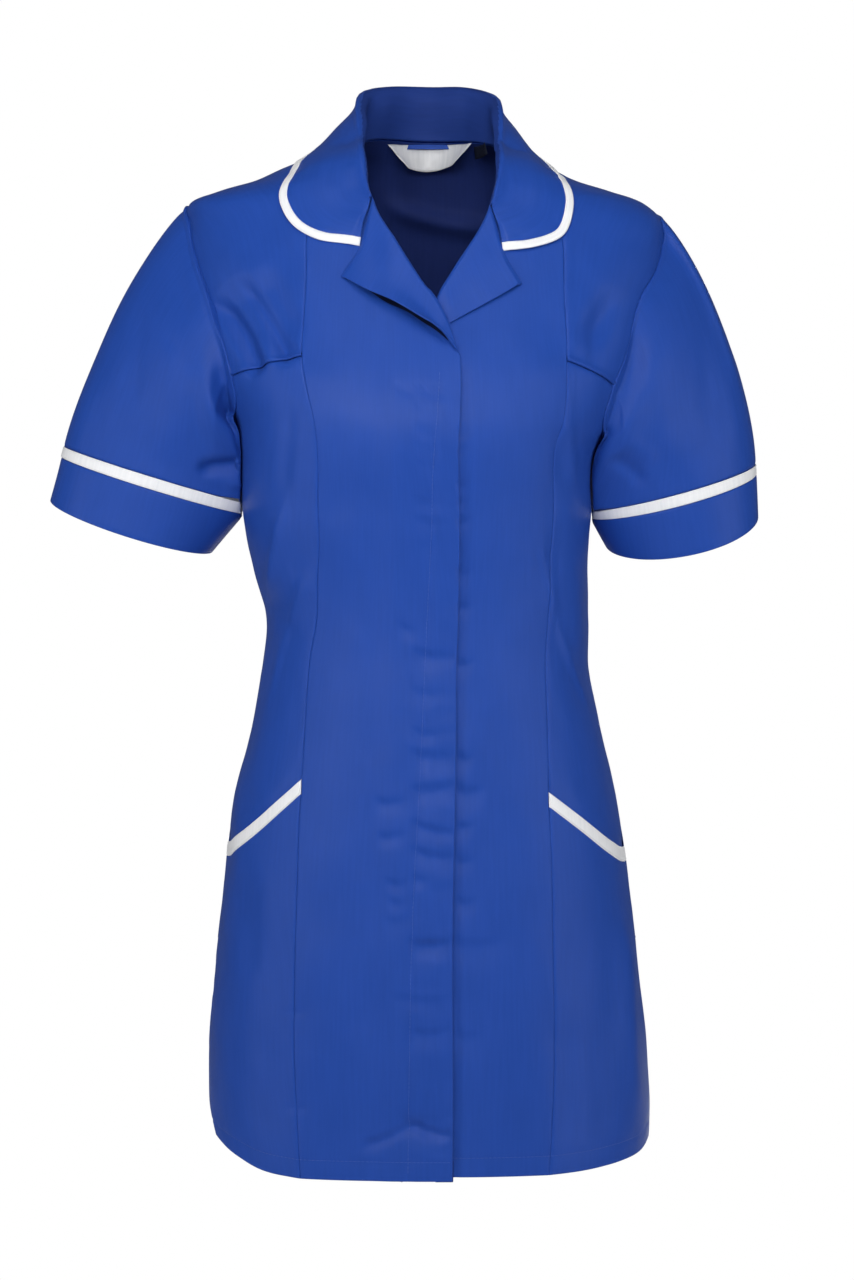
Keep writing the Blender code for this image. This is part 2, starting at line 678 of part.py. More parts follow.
def collar_sections(columns=44, rows=60):
    """Across the collar at each station: from the neck seam up the stand, over the roll and down the fall."""
    table = np.array(COLLAR, float)
    stations = np.linspace(0, len(table) - 1, columns + 1)
    dense = smooth_curve(table, 20)
    places = np.linspace(0, len(table) - 1, len(dense))
    rows_at = np.stack([np.interp(stations, places, dense[:, axis]) for axis in range(6)], axis=1)
    roll, edge = rows_at[:, :3], rows_at[:, 3:]
    seam, normals, inward = neck_seam()
    reach = np.linspace(0, 1, len(seam))
    along = np.cumsum(np.concatenate([[0], np.linalg.norm(np.diff(roll, axis=0), axis=1)]))
    along /= along[-1]
    seam = np.stack([np.interp(along, reach, seam[:, axis]) for axis in range(3)], axis=1)
    normals = np.stack([np.interp(along, reach, normals[:, axis]) for axis in range(3)], axis=1)
    roll = clear_of_body(roll, ROLL_CLEARANCE)
    edge = clear_of_body(edge, FALL_CLEARANCE)
    sections = []
    for station in range(len(roll)):
        out = unit(edge[station] - roll[station])
        forward = unit(roll[min(station + 1, len(roll) - 1)] - roll[max(station - 1, 0)])
        up = unit(np.cross(out, forward))
        if up @ (roll[station] - seam[station]) < 0:
            up = -up
        stand = np.linalg.norm(roll[station] - seam[station])
        tight = min(1.0, stand / 14)
        inner = roll[station] - out * 1.2 * tight - up * 3.6 * tight
        outer = roll[station] + out * 4.0 - up * 1.4 * tight
        middle = (outer + edge[station]) / 2 + up * 2.5
        line = smooth_curve([seam[station], inner, roll[station], outer, middle, edge[station]], 16)
        length = np.concatenate([[0], np.cumsum(np.linalg.norm(np.diff(line, axis=0), axis=1))])
        wanted = np.linspace(0, length[-1], rows + 1)
        sections.append(np.stack([np.interp(wanted, length, line[:, axis]) for axis in range(3)], axis=1))
    return np.array(sections)


def collar_pieces():
    sections = collar_sections()
    count = sections.shape[1] - 1
    edge_run = unit(np.gradient(sections[:, -1], axis=0))
    fall_run = unit(sections[:, -1] - sections[:, -12])
    slant = np.sqrt(np.maximum(1 - np.sum(edge_run * fall_run, axis=1) ** 2, 0.2))
    lengths = np.sum(np.linalg.norm(np.diff(sections, axis=1), axis=2), axis=1)
    binding_share = COLLAR_BINDING / slant / lengths
    gap_share = SEAM_GAP / slant / lengths
    collar_rows, binding_rows = [], []
    for section, width, gap in zip(sections, binding_share, gap_share):
        places = np.linspace(0, 1, count + 1)
        collar_at = np.linspace(0, 1 - width - gap, 13)
        binding_at = np.linspace(1 - width, 1, 3)
        collar_rows.append(np.stack([np.interp(collar_at, places, section[:, axis]) for axis in range(3)], axis=1))
        binding_rows.append(np.stack([np.interp(binding_at, places, section[:, axis]) for axis in range(3)], axis=1))
    collar_points = clear_of_fall(np.array(collar_rows))
    binding_points = clear_of_body(np.array(binding_rows), FALL_CLEARANCE)
    cloth("collar", collar_points, COLLAR_WALL, BLUE, body_axis, centred=True)
    cloth("collar_binding", binding_points, BINDING_WALL, WHITE, body_axis, centred=True)


def clear_of_fall(points):
    """Keep the fall, the part past the roll, off the shoulders."""
    moved = clear_of_body(points, FALL_CLEARANCE)
    weight = np.linspace(0, 1, points.shape[1])
    keep = soft_step((weight - 0.25) / 0.3)[None, :, None]
    return points * (1 - keep) + moved * keep


def sleeve_ring(side, ring, turn):
    sizes = SLEEVES[side]
    middle = np.array(sizes[f"{ring}_middle"], float)
    across = np.array(sizes[f"{ring}_across"], float)
    forward = np.array(sizes[f"{ring}_forward"], float)
    return middle + np.cos(turn)[:, None] * across + np.sin(turn)[:, None] * forward


def sleeve_pieces(side):
    """The sleeve from its armhole to the band, then the band and the cuff."""
    name = "right" if side == RIGHT else "left"
    front = joined(armhole_front(side), armhole_low(side))
    back = armhole_back(side)[::-1]
    hole = np.concatenate([skin(front), skin(back)[1:-1]])
    front_turn = np.linspace(0, math.pi, len(front))
    back_turn = np.linspace(math.pi, 2 * math.pi, len(back))[1:-1]
    turn = np.concatenate([front_turn, back_turn])
    weights = {"top": np.maximum(np.cos(turn), 0) ** 2, "under": np.maximum(-np.cos(turn), 0) ** 2,
               "front": np.maximum(np.sin(turn), 0) ** 2, "back": np.maximum(-np.sin(turn), 0) ** 2}
    leaving = sum(weights[key][:, None] * np.array(SLEEVES[side]["leaving"][key], float) for key in weights)
    hole = hole + unit(leaving) * (SEAM_GAP + WALL / 2)
    outward = unit(swell_slope(hole))
    hole = hole + outward * (WALL / 2 + WALL * (weights["under"] + 0.8 * weights["back"])[:, None])
    band = sleeve_ring(side, "band", turn)
    hem = sleeve_ring(side, "hem", turn)
    length = np.linalg.norm(band - hole, axis=1)[:, None]
    arriving = unit(hem - band) * length * 0.9
    rows = []
    for share in np.linspace(0, 1, 13):
        rows.append(hole * (2 * share**3 - 3 * share**2 + 1) + band * (3 * share**2 - 2 * share**3)
                    + leaving * (share**3 - 2 * share**2 + share) + arriving * (share**3 - share**2))
    points = np.array(rows)
    beside = soft_step((ARMPIT[side] - 4 - points[..., 2]) / 12)[..., None]
    points = points * (1 - beside) + clear_of_body(points, SLEEVE_CLEARANCE) * beside
    points[-1] += RING_GAP * unit(points[-2] - points[-1])

    def arm_axis(place):
        middle = SLEEVES[side]["band_middle"]
        return place.__class__((middle[0] * METRES, middle[1] * METRES, place.z))

    cloth(f"sleeve_{name}", points, WALL, BLUE, arm_axis, centred=True, tube=True)
    cuff_start = BAND_SHARE + RING_GAP / np.mean(np.linalg.norm(hem - band, axis=1))
    below = [band + (hem - band) * share for share in (0, BAND_SHARE / 2, BAND_SHARE)]
    band_points = clear_of_body(np.array(below), SLEEVE_CLEARANCE)
    cloth(f"sleeve_band_{name}", band_points, WALL + 0.4, WHITE, arm_axis, centred=True, tube=True)
    below = [band + (hem - band) * share for share in np.linspace(cuff_start, 1, 4)]
    cuff_points = clear_of_body(np.array(below), SLEEVE_CLEARANCE)
    cloth(f"cuff_{name}", cuff_points, WALL, BLUE, arm_axis, centred=True, tube=True)


def hung_inside(top, foot, columns, rows, depth, bow=0.0):
    """A small sheet that hangs inside the back of the neck, between two corners at its top and two at its foot."""
    across = np.linspace(0, 1, columns + 1)
    head = skin(np.array([on_back(top[0][0] + (top[1][0] - top[0][0]) * place, top[0][1]) for place in across]),
                -depth)
    head[:, 1] -= bow * np.sin(across * math.pi)
    foot_x = foot[0][0] + (foot[1][0] - foot[0][0]) * across
    foot_z = foot[0][1] + (foot[1][1] - foot[0][1]) * across
    low = np.stack([foot_x, head[:, 1] - 1.0, foot_z], 1)
    share = np.linspace(0, 1, rows + 1)[:, None, None]
    return head[None] * (1 - share) + low[None] * share


def neck_trims():
    label = hung_inside(LABEL_TOP, LABEL_BOTTOM, 8, 3, LABEL_DEPTH)
    cloth("label", label, LABEL_WALL, PALE_GREY, body_axis)
    foot = tuple((x, height - LOOP_WIDTH) for x, height in LOOP_ENDS)
    loop = hung_inside(LOOP_ENDS, foot, 6, 1, LOOP_DEPTH, bow=LOOP_BOW)
    cloth("hanging_loop", loop, LOOP_WALL, BLUE, body_axis)
    tag = hung_inside(TAG_TOP, TAG_BOTTOM, 2, 2, TAG_DEPTH)
    cloth("size_tag", tag, LABEL_WALL, DARK, body_axis)


def build():
    for item in list(bpy.data.objects):
        bpy.data.objects.remove(item, do_unlink=True)
    for side in (RIGHT, LEFT):
        front_panel(side)
        shoulder_front(side)
        side_front(side)
        pocket_front(side)
        pocket_binding(side)
        lapel(side)
        sleeve_pieces(side)
    back_panel()
    collar_pieces()
    neck_trims()


build()
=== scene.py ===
"""The looks of a short-sleeved medical tunic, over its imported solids.

The front faces -Y, the wearer's left is at +X, and the origin is the middle of the neck at the height of
the shoulder seams. Sizes are in millimetres here, and the meshes are made in metres. A place on the body
is a turn round it in degrees (-90 is the middle of the front, 90 the middle of the back, 0 the wearer's
left side, 180 or -180 the right side) and a height.
"""

import math

import bmesh
import bpy
import numpy as np
from mathutils import Matrix, Vector


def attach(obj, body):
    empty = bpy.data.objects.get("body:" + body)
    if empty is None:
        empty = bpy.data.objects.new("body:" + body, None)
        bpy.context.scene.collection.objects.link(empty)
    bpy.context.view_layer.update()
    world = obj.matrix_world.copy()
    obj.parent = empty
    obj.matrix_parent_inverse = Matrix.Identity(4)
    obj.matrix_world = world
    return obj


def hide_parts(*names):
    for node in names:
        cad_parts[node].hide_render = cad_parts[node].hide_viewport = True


METRES = 0.001
SOLID_WALL = 1.2
COLLAR_WALL = 1.6
CLOTH = 0.6
WALLS = {"lapel": 0.5, "shade": 0.3, "pocket binding": 0.4, "collar binding": 0.35, "sleeve band": 0.45}
SEAM_GAP = 0.3
# How many times finer a filled grid is than its first film, and the rounds that relax and lay it.
FINER = 8
FILM_ROUNDS, FINE_ROUNDS, LAYING_ROUNDS = 1200, 60, 6
# Distances from a panel's edges at which it has rows of its own.
EDGE_ROWS = (0.7, 1.7)
RIPPLE_WAVES = 14
SHOULDER_FOOT = -70
# The shortest side that a sheet can state, in metres. The hanging loop is a narrower strip.
OVERLAP_LIFT = 2.1
POCKET_DROP = 3.0
# The pocket's bag: its outer edge is given by steps outward and up from its foot's outer corner.
POCKET_BAG = {"foot": -690, "foot_width": 130, "set_in": 4, "outer": ((20, 94), (9, 50), (0, 2))}
RIGHT, LEFT = -1, 1
SIDE_NAME = {RIGHT: "right", LEFT: "left"}
BACK_TURN = {RIGHT: 180.0, LEFT: 0.0}

# Half widths of the body to the wearer's right and left, by height.
WIDTHS = (
    # height, right, left
    (12, 46, 40),
    (0, 60, 53),
    (-10, 88, 73),
    (-20, 116, 97),
    (-30, 138, 118),
    (-40, 171, 149),
    (-50, 191, 175),
    (-62, 191, 187),
    (-84, 191, 188),
    (-104, 190, 187),
    (-130, 186, 181),
    (-160, 179, 173),
    (-185, 171, 165),
    (-205, 162, 156),
    (-228, 152, 144),
    (-245, 149, 134),
    (-300, 146, 129),
    (-340, 137, 126),
    (-380, 127, 126),
    (-412, 130, 126),
    (-460, 138, 135),
    (-524, 153, 149),
    (-588, 161, 158),
    (-650, 168, 165),
    (-708, 174, 173),
    (-760, 175, 176),
    (-825, 174, 175),
)

# Depths before and behind the body's middle plane, that plane's place in Y, and how square the ring is.
DEPTHS = (
    # height, front, back, middle, power
    (12, 34, 56, 5, 2.2),
    (0, 50, 59, 6, 2.2),
    (-20, 66, 64, 8, 2.2),
    (-50, 80, 73, 8, 2.25),
    (-100, 99, 89, 6, 2.3),
    (-150, 115, 101, 4, 2.35),
    (-195, 128, 108, 2, 2.45),
    (-228, 131, 109, 0, 2.45),
    (-300, 120, 98, 0, 2.4),
    (-380, 110, 90, 0, 2.35),
    (-450, 112, 98, 0, 2.35),
    (-550, 119, 113, 0, 2.35),
    (-650, 124, 124, 0, 2.35),
    (-825, 129, 124, 0, 2.35),
)

# The largest folds, which the solids have too. Minus is a trough and plus a ridge.
FOLDS = (
    # side, from x, height, to x, height, bow, half width, lean, rise
    ("front", -158, -112, -124, -176, 0, 9, 0.0, -5.0),
    ("front", -132, -100, -100, -168, 0, 9, 0.0, -4.0),
    ("front", 150, -118, 120, -172, 0, 10, 0.0, -3.5),
    ("front", -110, -285, -122, -372, 0, 9, 0.0, 3.5),
    ("front", -96, -338, -106, -392, 0, 8, 0.0, 2.5),
    ("front", 112, -318, 118, -430, 0, 9, 0.0, 3.0),
    ("front", -34, -768, 22, -770, 0, 9, 0.0, -2.5),
    ("front", 150, -590, 158, -770, 0, 8, 0.0, 3.0),
    ("back", -60, -250, -72, -520, 0, 12, 0.0, -3.5),
    ("back", 60, -250, 72, -520, 0, 12, 0.0, -3.5),
    ("back", -120, -360, -30, -395, 0, 12, 0.0, -3.0),
    ("back", 120, -365, 26, -402, 0, 12, 0.0, -3.0),
)
FOLD_FADE = 0.35

# Finer creases. A bow bends the line aside at its middle, and a lean makes one flank steeper.
CREASES = (
    # side, from x, height, to x, height, bow, half width, lean, rise
    ("front", -104, -205, -112, -290, 0, 6, 0.0, -1.6),
    ("front", -68, -225, -69, -312, 0, 9, 0.0, -1.0),
    ("front", -104, -275, -123, -372, -3, 3.2, -0.5, 1.8),
    ("front", -90, -338, -128, -462, -3, 4.0, -0.4, 1.6),
    ("front", -97, -330, -112, -400, 0, 5, 0.0, -1.4),
    ("front", 95, -262, 98, -356, 2, 8, 0.0, -1.8),
    ("front", 84, -316, 99, -382, 0, 3.0, 0.5, 1.3),
    ("front", 97, -374, 130, -456, -3, 3.0, 0.5, 1.6),
    ("front", 106, -216, 113, -278, 0, 4, 0.2, 1.6),
    ("front", 99, -222, 101, -280, 0, 5, 0.0, -1.2),
    ("front", 140, -132, 126, -194, -2, 8, 0.0, -1.8),
    ("front", 120, -120, 112, -180, 0, 9, 0.0, 0.9),
    ("front", -150, -440, -150, -600, 0, 5, 0.0, 1.0),
    ("front", -139, -570, -140, -668, 0, 8, 0.0, -1.4),
    ("front", 151, -600, 161, -795, 2, 6, 0.3, 1.5),
    ("front", 105, -680, 108, -795, 0, 12, 0.0, -1.8),
    ("front", 132, -690, 136, -795, 0, 10, 0.0, -1.2),
    ("front", -120, -690, -118, -795, 0, 12, 0.0, -1.2),
    ("front", -46, -600, -52, -760, 0, 14, 0.0, -0.7),
    ("front", 52, -420, 56, -620, 0, 14, 0.0, -0.7),
    ("front", -113, -684, -92, -684, 0, 2.4, 0.0, -0.7),
    ("front", -114, -758, -90, -757, 0, 2.6, 0.0, -0.9),
    ("back", -150, -150, -118, -205, 3, 7, 0.0, -3.2),
    ("back", 150, -160, 120, -214, -3, 7, 0.0, -2.9),
    ("back", -128, -240, -96, -330, 4, 8, 0.2, -2.9),
    ("back", 126, -250, 98, -338, -4, 8, -0.2, -2.5),
    ("back", -44, -34, 66, -57, -7, 7, -0.2, -8.0),
    ("back", -104, -338, -20, -352, -4, 7, 0.0, -3.0),
    ("back", 108, -344, 34, -360, -4, 7, 0.0, -2.7),
    ("back", -70, -372, 10, -384, -3, 6, 0.0, -2.3),
    ("back", -112, -410, -60, -420, 0, 6, 0.0, -2.2),
    ("back", 110, -412, 52, -424, 0, 6, 0.0, -2.2),
    ("back", -96, -520, -108, -780, 4, 14, 0.0, -3.4),
    ("back", -30, -560, -34, -790, 0, 16, 0.0, -2.8),
    ("back", 38, -540, 44, -780, 0, 15, 0.0, -3.0),
    ("back", 104, -530, 118, -785, -4, 13, 0.0, -3.4),
)

# Troughs of the right chest, which end short at the bust seam.
CHEST_TROUGHS = (
    # side, from x, height, to x, height, bow, half width, lean, rise
    ("front", -171, -124, -131, -193, 3, 7.0, 0.2, -8.5),
    ("front", -152, -108, -106, -185, 3, 6.0, 0.2, -6.0),
    ("front", -160, -122, -118, -188, 2, 4.5, 0.0, 2.4),
)
CHEST_END_FADE = 0.16

# Short pulls across the placket and beside its edge, where the fastening under it holds the cloth.
PULLS = (
    # from x, to x, height, fall to the right, half height, rise
    (-24, -9, -202, 1, 2.0, -0.8),
    (-8, 20, -203, 1, 2.2, -0.9),
    (-9, 4, -215, 0, 2.4, -0.5),
    (-9, 6, -234, 0, 2.6, -0.5),
    (-9, 8, -247, 0, 2.4, -0.4),
    (-10, 6, -259, 1, 2.4, -0.4),
    (-10, 12, -288, -1, 3.0, -0.6),
    (-10, 10, -303, 1, 2.6, -0.6),
    (-9, 8, -322, 0, 3.2, -0.4),
    (-22, -8, -386, 4, 3.2, -0.6),
    (-11, 19, -407, 3, 4.2, -1.1),
    (-11, 10, -436, 1, 3.2, -0.5),
    (-11, 8, -467, 2, 3.0, -0.8),
    (-12, 20, -485, 2, 4.6, -1.4),
    (-12, 20, -510, -3, 4.4, -1.4),
    (-40, -18, -520, -2, 3.2, -0.9),
    (-12, 20, -541, 7, 3.8, -1.3),
    (-38, -18, -546, -3, 3.2, -0.9),
    (-12, 20, -561, 6, 3.6, -1.3),
    (-12, 0, -579, 1, 2.8, -0.8),
    (-32, -18, -582, 1, 2.8, -0.8),
    (-30, -18, -597, 1, 3.0, -0.7),
    (-13, 19, -629, -1, 4.8, -1.8),
    (-32, -14, -611, -3, 3.6, -0.5),
    (-26, 19, -671, 1, 3.2, -0.6),
    (-13, 17, -697, 0, 3.4, -1.0),
    (-50, -15, -776, -15, 2.6, -1.4),
    (-14, 17, -771, 10, 2.6, -1.8),
    (22, 30, -235, 0, 2.6, -0.7),
    (22, 30, -248, 0, 2.4, -0.6),
    (22, 31, -275, 0, 3.0, -0.8),
    (22, 30, -288, 0, 2.4, -0.6),
    (22, 33, -303, 1, 3.0, -0.8),
    (22, 34, -342, 0, 3.6, -0.8),
    (22, 33, -369, 0, 3.2, -0.9),
    (22, 34, -413, 0, 3.4, -0.8),
    (22, 34, -486, 1, 3.6, -1.0),
    (22, 42, -512, 0, 5.0, -1.3),
    (22, 34, -539, 0, 3.6, -1.0),
    (22, 34, -565, 0, 3.4, -0.9),
    (22, 36, -597, 1, 4.0, -1.0),
    (22, 58, -630, -2, 6.0, -1.0),
    (22, 40, -700, 0, 5.0, -0.7),
)
PULL_STRENGTH = 1.7
# How steep a pull is above and below its line: it fades over this many half heights.
PULL_WALLS = {"above": 0.75, "below": 2.3}

# The slight unevenness of each piece of cloth.
RIPPLES = {
    # rise, wave length, seed, stretch
    "body, broad": (0.55, 95, 3, (1, 1, 2.6)),
    "body, middling": (0.26, 36, 8, (1, 1, 1.8)),
    "body, fine": (0.07, 15, 12, (1, 1, 1.6)),
    "seam": (0.14, 13, 21, (1, 1, 1)),
    "hem": (0.12, 11, 33, (1, 1, 1)),
    "placket": (0.16, 14, 35, (2.4, 1, 1)),
    "collar": (0.35, 42, 5, (1, 1, 1)),
    "stand": (1.0, 26, 6, (1, 1, 4)),
    "collar edge": (0.28, 12, 9, (1, 1, 1)),
    "sleeve": (0.4, 70, 11, (1, 1, 1.8)),
    "cap": (0.3, 16, 17, (1, 1, 1)),
    "cuff": (0.3, 60, 23, (1, 1, 1)),
    "trims": (0.25, 15, 40, (1, 1, 1)),
}

# Folds of the sleeves, as lines seen from the front or the back.
SLEEVE_FOLDS = {
    RIGHT: (
        # side, from x, height, to x, height, bow, half width, lean, rise
        ("front", -203, -140, -206, -262, 3, 12, 0.0, 1.6),
        ("front", -226, -122, -234, -226, 0, 8, 0.0, -1.7),
        ("front", -210, -152, -184, -190, 2, 5, 0.0, -0.9),
        ("front", -196, -92, -190, -150, -2, 7, 0.0, -0.9),
        ("front", -184, -196, -180, -252, 0, 7, 0.0, -1.2),
        ("front", -138, -257, -186, -262, 0, 5.5, 0.0, -6.0),
        ("front", -138, -270, -162, -274, 0, 4, 0.0, 1.6),
        ("front", -262, -200, -268, -262, 0, 9, 0.0, -1.2),
        ("back", -214, -120, -222, -260, 2, 11, 0.0, -1.8),
        ("back", -190, -150, -192, -262, -2, 8, 0.0, 1.3),
        ("back", -244, -170, -252, -270, 0, 9, 0.0, 1.1),
        ("back", -150, -236, -190, -262, -4, 6, 0.2, -2.6),
    ),
    LEFT: (
        ("front", 168, -148, 147, -240, -3, 9, 0.0, -2.0),
        ("front", 190, -140, 186, -262, 0, 12, 0.0, 1.2),
        ("front", 212, -120, 226, -250, 2, 9, 0.0, -1.2),
        ("front", 238, -160, 246, -250, 0, 8, 0.0, 1.0),
        ("front", 140, -252, 172, -276, 4, 6, 0.2, -2.8),
        ("front", 150, -236, 182, -258, 2, 6, 0.0, 1.0),
        ("front", 176, -240, 206, -290, 0, 8, 0.0, -0.9),
        ("back", 206, -120, 214, -266, -2, 11, 0.0, -1.7),
        ("back", 184, -156, 184, -268, 2, 8, 0.0, 1.3),
        ("back", 142, -244, 180, -270, 4, 6, 0.2, -2.4),
        ("back", 232, -170, 240, -276, 0, 8, 0.0, 1.0),
    ),
}

# Long seams, as places seen from the front: x, height.
PRINCESS_SEAM = {
    RIGHT: ((-95, -92), (-97, -177), (-89, -217), (-84.5, -278), (-83.5, -315), (-85, -366), (-91, -408),
            (-94.5, -452), (-98, -505)),
    LEFT: ((106, -93), (107, -180), (102, -234), (93, -380), (93, -515)),
}
PRINCESS_TOP = {RIGHT: ((-92.5, -15), (-93.5, -40)), LEFT: ((101, -26), (103, -50))}
PRINCESS_AT_SHOULDER = {RIGHT: -92, LEFT: 100}
ARMHOLE_TOP = {RIGHT: -190, LEFT: 181}
ARMHOLE_FRONT = {
    RIGHT: ((-189, -60), (-185, -82), (-179, -104), (-173, -121), (-166.5, -143), (-158.5, -168),
            (-153, -189)),
    LEFT: ((184, -62), (186, -74), (181, -97), (167, -124), (161, -142), (156.5, -163), (144, -196)),
}
ARMHOLE_LOW = {RIGHT: (-150, -212), LEFT: (136, -226)}
ARMPIT = {RIGHT: -228, LEFT: -243}
ARMHOLE_BACK = {
    RIGHT: ((-184, -74), (-172, -110), (-162, -150), (-156, -190), (-151, -214)),
    LEFT: ((178, -80), (167, -114), (157, -154), (149, -194), (137, -228)),
}
NECK_POINT = {RIGHT: -60, LEFT: 55}
NECKLINE_FRONT = {
    RIGHT: ((-59.5, -3), (-59, -12), (-55, -28), (-49, -46), (-43, -58)),
    LEFT: ((55.5, -4.5), (56, -14), (55, -32), (52, -50), (48, -63)),
}
BREAK_LINE = {
    RIGHT: ((-40, -64), (-25, -90), (5, -136), (24.5, -178)),
    LEFT: ((41, -78), (24, -106), (5, -136), (-20, -178)),
}
BACK_NECK = ((-46, 7), (0, 9), (42, 5))
FRONT_EDGE = {
    RIGHT: ((24.5, -178), (23, -365), (21, -442), (18.5, -596), (17.7, -811)),
    LEFT: ((-20, -178), (-20, -811)),
}
POCKET_MOUTH = {RIGHT: ((-98, -505), (-157, -558)), LEFT: ((93, -515), (153, -562))}
BINDING_DROP = 10.5
BINDING_ROWS = (
    # drop below the mouth, rise off the body
    (BINDING_DROP, 1.15),
    (BINDING_DROP - 0.5, 1.6),
    (8.0, 1.75),
    (6.0, 1.8),
    (4.0, 1.8),
    (2.0, 1.75),
    (0.0, 1.65),
)
HEM = {RIGHT: -811, LEFT: -808}
VENT_TOP = -632
VENT_EDGE = {
    RIGHT: ((-169, -670), (-173, -720), (-172, -758), (-166, -785)),
    LEFT: ((167, -670), (173, -720), (175, -765), (174, -789)),
}
HEM_CORNER = {
    RIGHT: ((-158, -791.5), (-146, -798.5), (-124, -807.5)),
    LEFT: ((166, -797), (148, -802), (120, -806)),
}

# The back's rounded corners and vents: degrees from the side seam, and height.
BACK_CORNER = {
    RIGHT: ((30, -804), (25, -797), (17, -782)),
    LEFT: ((9, -797), (3, -786), (0, -768)),
}
BACK_VENT = {
    RIGHT: ((17, -782), (9, -758), (3, -725), (0, -690), (0, VENT_TOP)),
    LEFT: ((0, -768), (0, VENT_TOP)),
}
# Places along the back's hem between its corners: degrees and height.
BACK_HEM = ((140, -808), (90, -809), (30, -808), (20, -806))

# The lapels, as places seen from the front.
LAPEL_TOP = {
    RIGHT: ((-43.5, -54.5), (-48.5, -75), (-53, -91.5), (-67, -114)),
    LEFT: ((48.5, -60), (54.5, -80), (60, -98), (71.5, -119.6)),
}
LAPEL_FOLD = {
    RIGHT: ((-43.5, -54.5), (-39, -66), (-25, -90), (5, -136), (24, -177)),
    LEFT: ((48.5, -60), (41, -78), (24, -106), (9, -131), (1, -144)),
}
LAPEL_OUTER = {
    RIGHT: ((-67, -114), (-47, -127), (-29.5, -136.5), (-10, -148.5), (6.5, -158.5), (15, -165.5),
            (23.4, -177)),
    LEFT: ((71.5, -119.6), (60, -127), (20, -150), (10, -156)),
}
# The painted shadow under the right lapel: a near-black strip from this lower line up under the lapel's edge,
# by this way and width.
LAPEL_SHADE = ((-65.3, -115.4), (-44, -126.5), (-31, -135.6), (-15.8, -142.6), (-4, -150.8), (6, -157.8),
               (13.6, -165), (19.5, -171.5))
SHADE_WAY, SHADE_WIDTH = (0.55, 0.83), 9.0
LAPEL_LIFT = 2.0
LAPEL_SPRING = 10.0
OVER_FRONT = 0.6
# The front sinks a little under the sprung edge of the right lapel.
LAPEL_HOLLOW = (
    # side, from x, height, to x, height, bow, half width, lean, rise
    ("front", -60, -119, 21, -172, 5.0, 3.4, 0.0, -2.5),
)
FALL_CLEARANCE = LAPEL_LIFT + 0.9
ROLL_CLEARANCE = 6.0
ROLL_HEIGHT = 5.0
OVERLAP_START, OVERLAP_RUN = -44, 20

# The collar from the right end of the gorge seam round the back of the neck to the left end.
COLLAR = (
    # roll x, y, height, edge x, y, height
    (-44, -64, -55, -53, -86, -90.5),
    (-44, -63, -53, -66, -84, -88.5),
    (-45, -62, -50, -84, -78, -86),
    (-46, -60, -46, -105, -70, -73),
    (-48, -54, -36, -115, -58, -54),
    (-51, -40, -12, -110, -42, -34),
    (-55, -18, 14, -98, -8, -12),
    (-57, 8, 34, -88, 22, -6),
    (-52, 38, 48, -73, 58, -6),
    (-28, 56, 54, -42, 79, -7),
    (4, 60, 54, 2, 83, -6),
    (36, 55, 52, 46, 77, -8),
    (55, 36, 44, 72, 54, -9),
    (59, 8, 30, 85, 20, -11),
    (58, -18, 8, 93, -10, -20),
    (55, -40, -18, 106, -38, -40),
    (53, -54, -40, 112, -58, -60),
    (51, -60, -50, 104, -72, -82),
    (50, -63, -56, 82, -82, -91.5),
    (49, -65, -59, 68, -86, -93.5),
    (49, -66, -61, 58, -88, -94),
)
COLLAR_BINDING = 7.0
COLLAR_END_DROP = 1.9
# The form of the roll. Where the stand is lower than full, its curves are tighter.
COLLAR_FORM = {
    "full_stand": 14, "inner_back": 1.2, "inner_down": 3.6, "outer_out": 4.0, "outer_down": 1.4,
    "fall_fullness": 2.5,
}
# Across the collar's binding: shares of its width from the edge, and rises from the collar's face.
BINDING_ACROSS = (1.0, 0.93, 0.7, 0.4, 0.14)
BINDING_RISES = (-0.1, 0.25, 0.3, 0.3, 0.2)

# The label, the hanging loop and the size tag. Their top and foot are corners seen from the front, their grid
# is columns and rows, and their depth is how far inside the back they hang.
TRIMS = {
    "label": {
        "top": ((-34, 8), (37, 7)), "foot": ((-16, -13), (20, -11)), "grid": (32, 10),
        "depth": 2.7, "bow": 0.0, "sag": 2.6, "wall": 0.35, "finish": "label", "slot": "label_white",
    },
    "hanging_loop": {
        "top": ((-17, 8.5), (17, 8.5)), "foot": ((-17, 3.5), (17, 3.5)), "grid": (24, 6),
        "depth": 3.8, "bow": 2.0, "sag": 0.0, "wall": 0.8, "finish": "blue", "slot": "blue_cloth",
    },
    "size_tag": {
        "top": ((39, 5), (49, 5)), "foot": ((38, -7), (48, -7)), "grid": (8, 8),
        "depth": 2.6, "bow": 0.0, "sag": 0.0, "wall": 0.35, "finish": "tag", "slot": "tag_dark",
    },
}

# Sleeves: the ring at the top of the white band, the ring at the hem, and how the cloth leaves the armhole.
SLEEVES = {
    RIGHT: {
        "band": {"middle": (-216, 4, -264), "across": (-75, 0, 23), "forward": (0, -45, -4)},
        "hem": {"middle": (-237.6, 6, -304), "across": (-64.5, 0, 20.5), "forward": (0, -44, -10)},
        "leaving": {
            "top": (-98, 0, -68), "front": (-60, -35, -90), "under": (-24, 0, -14), "back": (-60, 48, -90),
        },
    },
    LEFT: {
        "band": {"middle": (194, 6, -273), "across": (68, 0, 18), "forward": (0, -44, -9)},
        "hem": {"middle": (203.5, 10, -307), "across": (60, 0, 13), "forward": (6, -42, -21)},
        "leaving": {
            "top": (94, 0, -64), "front": (50, -35, -95), "under": (24, 0, -14), "back": (50, 48, -95),
        },
    },
}
# The sleeve's first rings, as shares of the way from the armhole to the band.
CAP_SHARES = (0, 0.004, 0.009, 0.015, 0.022, 0.03, 0.04, 0.052)
